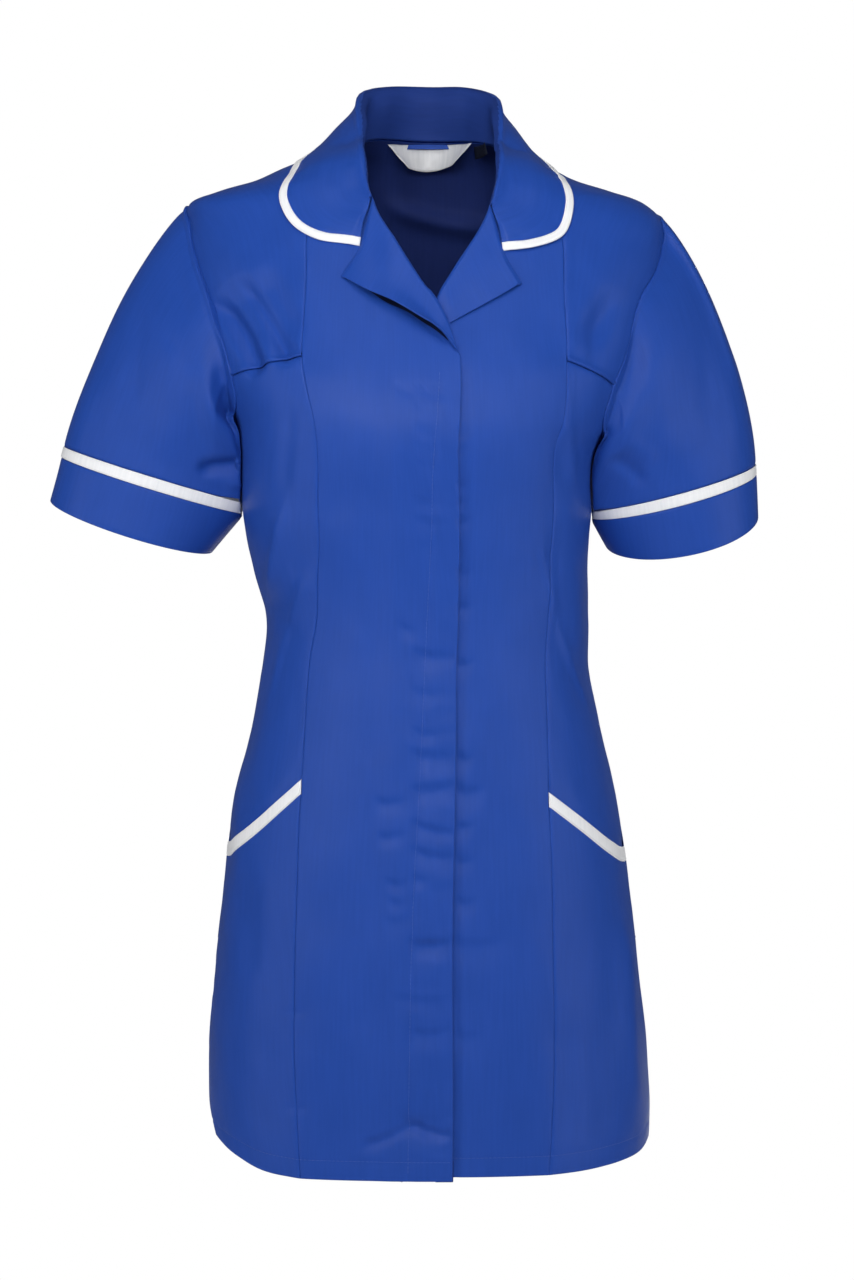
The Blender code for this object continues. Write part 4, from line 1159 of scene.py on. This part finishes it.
def side_front(side, cloths):
    """The side front, which goes on behind the pocket as the back of its bag."""
    x, height = PRINCESS_SEAM[side][-1]
    foot, foot_x = POCKET_BAG["foot"], side * POCKET_BAG["foot_width"]
    bag_x = x + side * POCKET_BAG["set_in"]
    bag_inner = trace(seen_front([(x, height), (bag_x, height - 30), (bag_x, foot)]), 8)
    seam = joined(dart_to_mouth(side), bag_inner)
    bag_side = [(foot_x + side * outward, foot + up) for outward, up in POCKET_BAG["outer"]]
    bag_outer = trace([side_seam(side, POCKET_MOUTH[side][1][1])] + seen_front(bag_side), 4)
    outer = joined(armhole_low(side), armpit_to_mouth(side), bag_outer)
    bottom = trace(seen_front([(bag_x, foot), bag_side[-1]]), 5)

    def pocket_drop(places):
        points = body(places)
        inner_end, outer_end = np.array(POCKET_MOUTH[side], float)
        share = np.clip((points[..., 0] - inner_end[0]) / (outer_end[0] - inner_end[0]), 0, 1)
        below = inner_end[1] + (outer_end[1] - inner_end[1]) * share - points[..., 2]
        return -0.5 * POCKET_DROP * (soft_step((below + 14) / 14) + soft_step(below / 8))

    grid = filled(bottom, dart_line(side), seam[::-1], outer[::-1])
    edges = {"start": ("seam", "allowance"), "end": ("seam",), "top": ("deep seam",)}
    sewn_panel(f"side_front_{SIDE_NAME[side]}", grid, edges, cloths, pocket_drop)


def pocket_front(side, cloths):
    vent = trace([side_seam(side, VENT_TOP)] + seen_front(VENT_EDGE[side]), 9)
    outer = joined(mouth_to_vent(side), vent)
    corner = VENT_EDGE[side][-1:] + HEM_CORNER[side] + ((PRINCESS_SEAM[side][-1][0], HEM[side]),)
    hem = trace(seen_front(corner), 4)
    grid = filled(hem[::-1], mouth_line(side, BINDING_DROP), mouth_to_hem(side)[::-1], outer[::-1])
    edges = {"start": ("seam", "allowance"), "bottom": ("stitched hem",)}
    turned = (("bottom", EDGE_ROLL, HEM_TURNING, 0), ("end", EDGE_ROLL, 10.0, VENT_TOP))
    sewn_panel(f"pocket_front_{SIDE_NAME[side]}", grid, edges, cloths, turned=turned)


def pocket_binding(side, cloths):
    rows, ways = zip(*(skin(mouth_line(side, drop), rise) for drop, rise in BINDING_ROWS))
    sew(*skin(mouth_line(side, BINDING_DROP - 1.4), 1.75), "white")
    points, normals = turned_under(np.array(rows), np.array(ways), "top", 0.9, 8.0)
    name = SIDE_NAME[side]
    cloth(f"pocket_binding_{name}", points, normals, cloths["white"], WALLS["pocket binding"])


def back_panel(cloths):
    sides, ridges = [], []
    for side in (RIGHT, LEFT):
        turn = BACK_TURN[side]
        corner, vent = (trace([(turn + side * away, height) for away, height in line[side]], steps)
                        for line, steps in ((BACK_CORNER, 2), (BACK_VENT, 6)))
        vent[:, 0] = np.clip(vent[:, 0], 0, 180)
        seam = joined(mouth_to_vent(side)[::-1], armpit_to_mouth(side)[::-1])
        ridge = joined(ridge_line(ARMHOLE_TOP[side], PRINCESS_AT_SHOULDER[side], 5),
                       ridge_line(PRINCESS_AT_SHOULDER[side], NECK_POINT[side], 2))
        seam[:, 0] = ridge[:, 0] = turn
        sides.append(joined(corner, vent, seam, armhole_back(side)[::-1]))
        ridges.append(ridge)
    neck = trace([ridges[0][-1]] + seen_back(BACK_NECK) + [ridges[1][-1]], 8)
    top = joined(ridges[0], neck, ridges[1][::-1])
    hem = trace([sides[0][0], *BACK_HEM, sides[1][0]], (len(top) - 1) // FINER)
    edges = {"start": ("seam",), "end": ("seam",), "top": ("seam",), "bottom": ("stitched hem",)}
    turned = [("bottom", EDGE_ROLL, HEM_TURNING, 0)]
    turned += [(edge, 0.5, 10.0, VENT_TOP) for edge in ("start", "end")]
    sewn_panel("back", thinned(filled(hem, top, *sides)), edges, cloths, turned=turned)


def lapel(side, cloths):
    """The turned-back front, from the facing inside its rolled fold to its pressed outer edge."""
    fold, outer, top = (trace(seen_front(line[side]), steps)
                        for line, steps in ((LAPEL_FOLD, 10), (LAPEL_OUTER, 10), (LAPEL_TOP, 6)))
    last = trace(seen_front([LAPEL_FOLD[side][-1], LAPEL_OUTER[side][-1]]), 6)
    grid = filled(fold, outer, top, last)
    share = np.linspace(0, 1, grid.shape[0])[:, None]
    along = np.linspace(0, 1, grid.shape[1])[None]
    ending = soft_step((1 - along) / 0.22)
    tucked = 1.5 * (1 - soft_step(edge_distances(body(grid))["start"] / 3.5))
    lift = LAPEL_LIFT + (ROLL_HEIGHT - LAPEL_LIFT) * (1 - soft_step(share / 0.75)) * ending - tucked
    overlap, over_front = (overlap_lift(grid), OVER_FRONT) if side == RIGHT else (0.0 * share * along, 0.0)
    if side == RIGHT:
        spring = LAPEL_SPRING * share ** 1.4 * np.sin(math.pi * along ** 1.2) ** 0.8
        lift = (lift + over_front) * (0.15 + 0.85 * ending) + overlap + spring
    else:
        lift = lift * (0.35 + 0.65 * ending) + 2.4 * share ** 2 * (1 - along)
    points, normals = skin(grid, lift + SOLID_WALL)
    inner_lift = (LAPEL_LIFT + over_front) * (0.15 + 0.85 * ending[0])
    inner, inner_ways = skin(grid[0], inner_lift + overlap[0])
    away = unit(points[0] - points[2]) * ending.T
    lip = inner + away * 2.6
    crown = (points[0] + lip) / 2 + away * 1.4
    hidden = inner - inner_ways * (inner_lift + 1.0)[:, None]
    stations = zip(hidden - away * 7, hidden + away * 0.6, lip, crown, points[0])
    roll = np.array([smooth_curve(line, 5)[:-1] for line in stations]).swapaxes(0, 1)
    points = np.concatenate([roll, points])
    normals = np.concatenate([np.repeat(normals[:1], len(roll), axis=0), normals])
    ways = faced(grid_normals(points), normals, np.s_[-10:])
    points, ways = turned_under(points, ways, "top", 0.55, 4.0, np.maximum(ending[0], 0.05))
    points, ways = turned_under(points, ways, "start", 0.5, 3.0)
    name = SIDE_NAME[side]
    cloth(f"lapel_{name}", points, ways, cloths["blue"], WALLS["lapel"])


def lapel_shade(cloths):
    """A near-black strip on the front under the right lapel's sprung edge: painted shadow in its hollow."""
    low = smooth_curve(LAPEL_SHADE, 8)
    reach = SHADE_WIDTH * np.maximum(soft_step((1 - np.linspace(0, 1, len(low))) / 0.35), 0.08)
    places = np.array([seen_front(low + np.outer(reach * share, SHADE_WAY))
                       for share in np.linspace(0, 1, 6)])
    lift = overlap_lift(places) + crease_rise(body(places), LAPEL_HOLLOW)
    points, ways = skin(places, SOLID_WALL + 0.45 + lift)
    cloth("lapel_shade", points, ways, cloths["shade"], WALLS["shade"],
          replaces=False)


def neck_seam():
    """The seam between the body and the collar, from the right gorge round the back to the left one."""
    right, left = (trace([on_ridge(NECK_POINT[side])] + seen_front(NECKLINE_FRONT[side]), 6)
                   for side in (RIGHT, LEFT))
    back = trace([(180.0, right[0, 1])] + seen_back(BACK_NECK) + [(0.0, left[0, 1])], 8)
    lines = [body(line) for line in (right[::-1], back, left)]
    points, normals = joined(*lines), joined(*[unit(swell_slope(line)) for line in lines])
    tangent = unit(np.gradient(points, axis=0))
    inward = faced(unit(np.cross(tangent, normals)), -points)
    return points + inward * (SEAM_GAP + 0.3 + COLLAR_WALL / 2) + normals * 0.4


def collar_sections(columns=176, rows=72):
    """Across the collar at each station: from the neck seam up the stand, over the roll and down the fall."""
    dense = smooth_curve(COLLAR, 20)
    last = len(COLLAR) - 1
    rows_at = at_runs(np.linspace(0, last, columns + 1), np.linspace(0, last, len(dense)), dense)
    roll, edge = rows_at[:, :3], rows_at[:, 3:]
    seam = neck_seam()
    along = runs(roll)
    seam = at_runs(along / along[-1], np.linspace(0, 1, len(seam)), seam)
    roll = clear_of_body(roll, ROLL_CLEARANCE)
    edge = clear_of_body(edge, FALL_CLEARANCE)
    sections, crests, form = [], [], COLLAR_FORM
    for station in range(len(roll)):
        here, foot, end = roll[station], seam[station], edge[station]
        out = unit(end - here)
        forward = unit(roll[min(station + 3, len(roll) - 1)] - roll[max(station - 3, 0)])
        up = faced(unit(np.cross(out, forward)), here - foot)
        tight = min(1.0, np.linalg.norm(here - foot) / form["full_stand"])
        inner = here - out * form["inner_back"] * tight - up * form["inner_down"] * tight
        outer = here + out * form["outer_out"] - up * form["outer_down"] * tight
        middle = (outer + end) / 2 + up * form["fall_fullness"]
        line = smooth_curve([foot, inner, here, outer, middle, end], 24)
        length = runs(line)
        sections.append(at_runs(np.linspace(0, length[-1], rows + 1), length, line))
        crests.append(length[48] / length[-1])
    return np.array(sections), np.array(crests)


def binding_section(section, ways, share, weight):
    """Across the collar's binding: over its top, round the edge and back underneath."""
    flat = 1 - share * np.array(BINDING_ACROSS)
    middle, out_ways = at_runs(flat, weight, section), at_runs(flat, weight, ways)
    lift = out_ways * (COLLAR_WALL / 2 + np.array(BINDING_RISES))[:, None]
    tip, tip_way = section[-1], ways[-1]
    out = unit(section[-1] - section[-4])
    nose = [tip - out * 0.45 + tip_way * 0.75, tip + tip_way * 0.1, tip - out * 0.45 - tip_way * 0.75]
    points = np.concatenate([middle + lift, nose, (middle - lift)[::-1]])
    return points, np.concatenate([out_ways, [tip_way] * 3, out_ways])


def collar_pieces(cloths):
    """The collar, and the white binding round its edge."""
    sections, crests = collar_sections()
    weight = np.linspace(0, 1, sections.shape[1])
    keep = soft_step((weight - 0.25) / 0.3)[None, :, None]
    sections = sections * (1 - keep) + clear_of_body(sections, FALL_CLEARANCE) * keep
    normals = faced(grid_normals(sections), sections - np.array((0, 0, -60.0)), np.s_[:, -20:])
    edge_run = unit(np.gradient(sections[:, -1], axis=0))
    fall_run = unit(sections[:, -1] - sections[:, -14])
    slant = np.sqrt(np.maximum(1 - np.sum(edge_run * fall_run, axis=1) ** 2, 0.2))
    lengths = np.sum(step_lengths(sections, 1), axis=1)
    from_edge_line = (1 - weight)[None] * (lengths * slant)[:, None] - COLLAR_BINDING
    uneven = ruffled(sections, "collar") * soft_step((weight - 0.3) / 0.3)[None]
    standing = soft_step(weight / 0.1) * soft_step((0.45 - weight) / 0.2)
    uneven += ruffled(sections, "stand") * standing[None]
    uneven += ruffled(sections, "collar edge") * bell((from_edge_line - 1) / 7)
    uneven += dip(from_edge_line, 0.3, 0.3, 0.8)
    sections = sections + normals * uneven[..., None]
    station = np.linspace(0, 1, len(sections))[:, None, None]
    ends = soft_step((0.035 - np.minimum(station, 1 - station)) / 0.035)
    sections = sections - normals * COLLAR_END_DROP * ends * soft_step((weight - 0.35) / 0.3)[None, :, None]
    widths = COLLAR_BINDING / slant / lengths
    points = np.array([at_runs(np.linspace(0, 1 - share * 0.3, 64), weight, section)
                       for section, share in zip(sections, widths)])
    # The stand's faces get the darker blue, painted shade inside the neck.
    standing = np.linspace(0, 1, points.shape[1])[None] < crests[:, None] - 0.03
    cloth("collar", points, grid_normals(points), cloths["blue"], COLLAR_WALL - 0.2,
          centred=True, facing=(cloths["stand"], standing))
    rows, ways = zip(*(binding_section(section, way, share, weight)
                       for section, way, share in zip(sections, normals, widths)))
    points = np.array(rows)
    ways = faced(grid_normals(points), np.array(ways), np.s_[:, :5])
    sew(points[:, 1] * 0.6 + points[:, 2] * 0.4, ways[:, 1], "white")
    cloth("collar_binding", points, ways, cloths["white"], WALLS["collar binding"])


def sleeve_ring(sizes, turn):
    middle, across, forward = (np.array(sizes[key], float) for key in ("middle", "across", "forward"))
    return middle + np.cos(turn)[:, None] * across + np.sin(turn)[:, None] * forward


def sleeve_rings(side):
    """The rings at the armhole, the band and the hem, from under the arm round to there again.

    Leaving is the way in which the cloth leaves the armhole, and outward is the way out of the body there.
    """
    front, back = joined(armhole_front(side), armhole_low(side)), armhole_back(side)[::-1]
    hole = body(joined(front, back))
    hole = hole + unit(swell_slope(hole)) * fold_rise(hole)[:, None]
    turn = joined(np.linspace(0, math.pi, len(front)), np.linspace(math.pi, 2 * math.pi, len(back)))
    cosine, sine = np.cos(turn), np.sin(turn)
    weights = {name: np.maximum(part, 0)[:, None] ** 2 for name, part in
               (("top", cosine), ("under", -cosine), ("front", sine), ("back", -sine))}
    leaving = sum(weight * np.array(SLEEVES[side]["leaving"][name], float)
                  for name, weight in weights.items())
    hole = hole + unit(leaving) * (SOLID_WALL / 2)
    outward = unit(swell_slope(hole))
    hole = hole + outward * SOLID_WALL * (0.5 + weights["under"] + 0.8 * weights["back"])
    rings = {"hole": hole, "leaving": leaving, "outward": outward,
             "band": sleeve_ring(SLEEVES[side]["band"], turn), "hem": sleeve_ring(SLEEVES[side]["hem"], turn)}
    start = len(front) - 1
    order = [*range(start, len(turn)), *range(1, start + 1)]
    return {name: points[order] for name, points in rings.items()}


def round_ways(points, side):
    """Outward normals of a sleeve's grid, whose first and last columns meet."""
    wrapped = np.concatenate([points[:, -2:-1], points, points[:, 1:2]], axis=1)
    return faced(grid_normals(wrapped)[:, 1:-1], points - np.array(SLEEVES[side]["band"]["middle"], float))


def sleeve(side, rings, cloths):
    """The sleeve, from its armhole to the band."""
    hole, band = rings["hole"], rings["band"]
    arriving = unit(rings["hem"] - band) * np.linalg.norm(band - hole, axis=1)[:, None] * 0.9
    shares = np.concatenate([CAP_SHARES, np.linspace(0.066, 1, 60)])
    points = np.array([eased(share, hole, band, rings["leaving"], arriving) for share in shares])
    below = soft_step((ARMPIT[side] + 14 - points[..., 2]) / 22)[..., None]
    points = points * (1 - below) + drawn_to_body(points, 2.0, 20.0) * below
    beside = soft_step((ARMPIT[side] - 14 - points[..., 2]) / 20)[..., None]
    points = points * (1 - beside) + clear_of_body(points, SLEEVE_CLEARANCE) * beside
    ways = round_ways(points, side)
    near = edge_distances(points)
    near_hole, near_band, height = near["bottom"], near["top"], points[..., 2]
    rise = crease_rise(points, SLEEVE_FOLDS[side], ways[..., 1] < 0)
    rise += ruffled(points, "sleeve", side)
    rise *= soft_step(near_hole / 30) * soft_step((near_band + 4) / 12)
    rise += dip(near_hole, *DIPS["seam"]) + bank(near_hole, *BANKS["cap"]) + dip(near_band, *DIPS["band"])
    ridge = bell((near_hole - 2.6) / 1.5) - 0.7 * bell((near_hole - 6.4) / 2.2)
    rise += CAP_RIDGE[side] * ridge * soft_step((height + 190) / 25)
    rise += ruffled(points, "cap") * np.exp(-near_hole / 9) * soft_step(near_hole / 2)
    depth, distance, run_out, start_height = SLEEVE_HOLLOW[side]
    hollow = depth * soft_step(near_hole / distance) * bell(np.maximum(near_hole - distance, 0) / run_out)
    hollow *= soft_step((start_height - height) / 75)
    slot = SLEEVE_SLOT[side] * soft_step(near_hole / 4) * bell(np.maximum(near_hole - 5, 0) / 36)
    slot *= soft_step((-160 - height) / 60)
    on_front_half = soft_step(-ways[..., 1] / 0.35) * soft_step((near_band + 2) / 14)
    points = points + ways * (rise + SOLID_WALL / 2)[..., None]
    points[..., 1] += hollow * on_front_half
    points[..., 0] += side * slot * on_front_half
    tucked = hole - unit(rings["leaving"]) * 3.5 - rings["outward"] * 2.6
    points, ways = np.concatenate([tucked[None], points]), np.concatenate([ways[:1], ways])
    cloth(f"sleeve_{SIDE_NAME[side]}", points, ways, cloths["blue"], CLOTH, welded=True)


def cuff_rows(side, rings, shares):
    """Rings at these shares of the way from the top of the band to the hem, and their outward normals."""
    rows = np.array([rings["band"] + (rings["hem"] - rings["band"]) * share for share in shares])
    points = clear_of_body(rows, SLEEVE_CLEARANCE)
    return points, round_ways(points, side)


def sleeve_band(side, rings, cloths):
    shares, lifts = np.transpose(BAND_ROWS)
    points, ways = cuff_rows(side, rings, shares * BAND_SHARE)
    points = points + ways * lifts[:, None, None]
    for edge in ("bottom", "top"):
        sew(*line_inside(points, ways, edge, 1.2), "white")
    name = SIDE_NAME[side]
    cloth(f"sleeve_band_{name}", points, ways, cloths["white"], WALLS["sleeve band"],
          welded=True)


def cuff(side, rings, cloths):
    shares = [BAND_SHARE - 0.005, BAND_SHARE + 0.03, *np.linspace(BAND_SHARE + 0.07, 1, 11)]
    points, ways = cuff_rows(side, rings, shares)
    rise = ruffled(points, "cuff", side) + SOLID_WALL / 2
    rise += dip(edge_distances(points)["bottom"], *DIPS["band"])
    points, ways = turned_under(points + ways * rise[..., None], ways, "top", EDGE_ROLL, CUFF_TURNING)
    cloth(f"cuff_{SIDE_NAME[side]}", points, ways, cloths["blue"], CLOTH, welded=True)


def neck_trim(node, trim, cloths):
    """A small sheet that hangs inside the back of the neck, between the corners of its top and its foot."""
    columns, rows = trim["grid"]
    across = np.linspace(0, 1, columns + 1)
    middle = np.sin(across * math.pi)
    (left_x, top_height), (right_x, _) = trim["top"]
    head = body(seen_back([(x, top_height) for x in left_x + (right_x - left_x) * across]))
    head = head - unit(swell_slope(head)) * trim["depth"]
    head[:, 1] -= trim["bow"] * middle
    foot = np.array(trim["foot"], float)
    foot_x, foot_height = (foot[:1] + (foot[1:] - foot[:1]) * across[:, None]).T
    low = np.stack([foot_x, head[:, 1] - 1.0, foot_height - trim["sag"] * middle], 1)
    share = np.linspace(0, 1, rows + 1)[:, None, None]
    points = head[None] * (1 - share) + low[None] * share
    ways = faced(grid_normals(points), np.array((0, -1, 0)))
    points = points + ways * ruffled(points, "trims")[..., None]
    cloth(node, points, ways, cloths[trim["finish"]], trim["wall"])


def wired(tree, kind, inputs=(), **settings):
    """A shader node with these settings. Each input is a value or another node's output."""
    made = tree.nodes.new(f"ShaderNode{kind}")
    for key, value in settings.items():
        setattr(made, key, value)
    for socket, value in dict(inputs).items():
        if isinstance(value, bpy.types.NodeSocket):
            tree.links.new(value, made.inputs[socket])
        else:
            made.inputs[socket].default_value = value
    return made


def shared_group(name, outputs):
    """An empty node group that reads a place on the cloth and puts out these numbers."""
    tree = bpy.data.node_groups.new(name, "ShaderNodeTree")
    tree.interface.new_socket("Place", in_out="INPUT", socket_type="NodeSocketVector")
    for label in outputs:
        tree.interface.new_socket(label, in_out="OUTPUT", socket_type="NodeSocketFloat")
    place = tree.nodes.new("NodeGroupInput").outputs["Place"]
    return tree, place, tree.nodes.new("NodeGroupOutput")


def twill_weave():
    """Fine diagonal ribs with crossing yarns: how high the cloth stands, from its flat place in metres."""
    tree, place, outside = shared_group("Twill weave", ["Height"])
    ribs = wired(tree, "TexWave", {"Vector": place, "Scale": 900, "Distortion": 1.2, "Detail": 1},
                 wave_type="BANDS", bands_direction="DIAGONAL")
    yarns = wired(tree, "TexWave", {"Vector": place, "Scale": 1250, "Distortion": 2.0},
                  wave_type="BANDS", bands_direction="X")
    blend = wired(tree, "Mix", {"Factor": 0.3, "A": ribs.outputs["Fac"], "B": yarns.outputs["Fac"]},
                  data_type="FLOAT")
    tree.links.new(blend.outputs["Result"], outside.inputs["Height"])
    return tree


def yarn_slubs():
    """Thicker lengths of yarn that run up the cloth, as soft streaks, and broad soft blotches."""
    tree, place, outside = shared_group("Yarn slubs", ["Slub", "Blotch"])
    stretch = wired(tree, "Mapping", {"Vector": place, "Scale": (380, 26, 1)})
    streaks = wired(tree, "TexNoise", {"Vector": stretch.outputs["Vector"], "Scale": 1.0, "Detail": 2.0},
                    noise_dimensions="2D")
    broad = wired(tree, "TexNoise", {"Vector": place, "Scale": 22, "Detail": 3.0}, noise_dimensions="2D")
    tree.links.new(streaks.outputs["Fac"], outside.inputs["Slub"])
    tree.links.new(broad.outputs["Fac"], outside.inputs["Blotch"])
    return tree


def new_finish(name, settings):
    """A material, with these values on its shader."""
    finish = bpy.data.materials.new(name)
    finish.use_nodes = True
    tree = finish.node_tree
    shader = tree.nodes["Principled BSDF"]
    for socket, value in settings.items():
        shader.inputs[socket].default_value = value
    return finish, tree, shader


def woven(name, deep, pale, roughness, lustre, relief, weave, slubs):
    """A cloth of two close colours, mixed by its slubs, with the weave as fine relief."""
    sheen_weight, sheen_roughness, sheen_tint, gloss = LUSTRES[lustre]
    finish, tree, shader = new_finish(name, {
        "Sheen Weight": sheen_weight, "Sheen Roughness": sheen_roughness, "Sheen Tint": (*sheen_tint, 1),
        "Specular IOR Level": gloss})
    place = {"Place": wired(tree, "UVMap", uv_map="Weave").outputs["UV"]}
    ribs = wired(tree, "Group", place, node_tree=weave)
    streaks = wired(tree, "Group", place, node_tree=slubs)
    uneven = wired(tree, "Mix", {"Factor": 0.4, "A": streaks.outputs["Slub"], "B": streaks.outputs["Blotch"]},
                   data_type="FLOAT")
    spread = wired(tree, "MapRange", {"Value": uneven.outputs["Result"], "From Min": 0.32, "From Max": 0.68})
    tone = wired(tree, "Mix", {"Factor": spread.outputs["Result"], "A": (*deep, 1), "B": (*pale, 1)},
                 data_type="RGBA")
    rough = wired(tree, "MapRange", {"Value": ribs.outputs["Height"], "To Min": roughness + 0.06,
                                     "To Max": roughness - 0.06})
    height = wired(tree, "Mix", {"Factor": 0.35, "A": ribs.outputs["Height"], "B": streaks.outputs["Slub"]},
                   data_type="FLOAT")
    bump = wired(tree, "Bump", {"Strength": relief, "Distance": 0.0002, "Height": height.outputs["Result"]})
    tree.links.new(tone.outputs["Result"], shader.inputs["Base Color"])
    tree.links.new(rough.outputs["Result"], shader.inputs["Roughness"])
    tree.links.new(bump.outputs["Normal"], shader.inputs["Normal"])
    return finish


def spun(name, colour, roughness):
    """Sewing thread, a little uneven along its length."""
    finish, tree, shader = new_finish(name, {"Roughness": roughness, "Sheen Weight": 0.2})
    place = wired(tree, "TexCoord").outputs["Object"]
    twist = wired(tree, "TexNoise", {"Vector": place, "Scale": 900})
    shade, light = ((*[min(channel * share, 1.0) for channel in colour], 1) for share in (0.8, 1.2))
    tone = wired(tree, "Mix", {"Factor": twist.outputs["Fac"], "A": shade, "B": light}, data_type="RGBA")
    tree.links.new(tone.outputs["Result"], shader.inputs["Base Color"])
    return finish


def finishes():
    groups = twill_weave(), yarn_slubs()
    cloths = {key: woven(*settings, *groups) for key, settings in CLOTHS.items()}
    return cloths | {key: spun(*settings) for key, settings in THREADS.items()}


def shown_to_camera(tree, lighting, seen, output):
    """Light the scene with one shader and show the camera another, on a plain ground."""
    path = wired(tree, "LightPath")
    choice = wired(tree, "MixShader", {"Fac": path.outputs["Is Camera Ray"], 1: lighting, 2: seen})
    tree.links.new(choice.outputs["Shader"], tree.nodes[output].inputs["Surface"])


def studio():
    """A pale floor, soft lights before and behind, and the camera at the photograph's place."""
    form = bmesh.new()
    bmesh.ops.create_grid(form, x_segments=1, y_segments=1, size=30.0)
    bmesh.ops.translate(form, verts=form.verts, vec=(0, 0, FLOOR_HEIGHT))
    floor = placed("studio_floor", made_mesh("studio_floor", form))
    pale, tree, shader = new_finish("Pale floor", {"Base Color": (0.72, 0.72, 0.73, 1), "Roughness": 0.9})
    glow = wired(tree, "Emission", {"Strength": 1.0})
    shown_to_camera(tree, shader.outputs["BSDF"], glow.outputs["Emission"], "Material Output")
    floor.data.materials.append(pale)

    for name, place, aim, size, power in LIGHTS:
        lamp = bpy.data.lights.new(name, "AREA")
        lamp.shape = "RECTANGLE"
        lamp.size, lamp.size_y = size
        lamp.energy = power
        holder = placed(name, lamp)
        holder.location = place
        holder.rotation_euler = (Vector(aim) - Vector(place)).to_track_quat("-Z", "Y").to_euler()
        holder.visible_glossy = name != "back"

    world = bpy.data.worlds.new("Studio")
    world.use_nodes = True
    bpy.context.scene.world = world
    tree = world.node_tree
    fill = tree.nodes["Background"]
    fill.inputs["Color"].default_value = (0.93, 0.96, 1.0, 1)
    fill.inputs["Strength"].default_value = WORLD_FILL
    white = wired(tree, "Background", {"Color": (1, 1, 1, 1)})
    shown_to_camera(tree, fill.outputs["Background"], white.outputs["Background"], "World Output")

    lens = bpy.data.cameras.new("camera")
    lens.lens = CAMERA["lens"]
    lens.sensor_fit = "VERTICAL"
    lens.sensor_height = CAMERA["sensor"]
    camera = placed("camera", lens)
    camera.location = CAMERA["place"]
    camera.rotation_euler = (math.pi / 2, 0, 0)
    bpy.context.scene.camera = camera
    bpy.context.scene.view_settings.view_transform = "Standard"


def tunic():
    cloths = finishes()
    for side in (RIGHT, LEFT):
        for piece in (front_panel, shoulder_front, side_front, pocket_front, pocket_binding, lapel):
            piece(side, cloths)
        rings = sleeve_rings(side)
        for piece in (sleeve, sleeve_band, cuff):
            piece(side, rings, cloths)
    lapel_shade(cloths)
    back_panel(cloths)
    collar_pieces(cloths)
    for node, trim in TRIMS.items():
        neck_trim(node, trim, cloths)
    stitching("blue", cloths["blue thread"])
    stitching("white", cloths["white thread"])


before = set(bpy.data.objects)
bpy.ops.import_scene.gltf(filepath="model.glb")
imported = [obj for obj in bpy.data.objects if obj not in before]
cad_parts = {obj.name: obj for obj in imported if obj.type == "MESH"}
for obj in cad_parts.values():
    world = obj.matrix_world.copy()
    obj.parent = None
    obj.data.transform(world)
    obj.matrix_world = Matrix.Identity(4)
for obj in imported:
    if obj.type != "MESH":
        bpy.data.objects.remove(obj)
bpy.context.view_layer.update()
tunic()
studio()
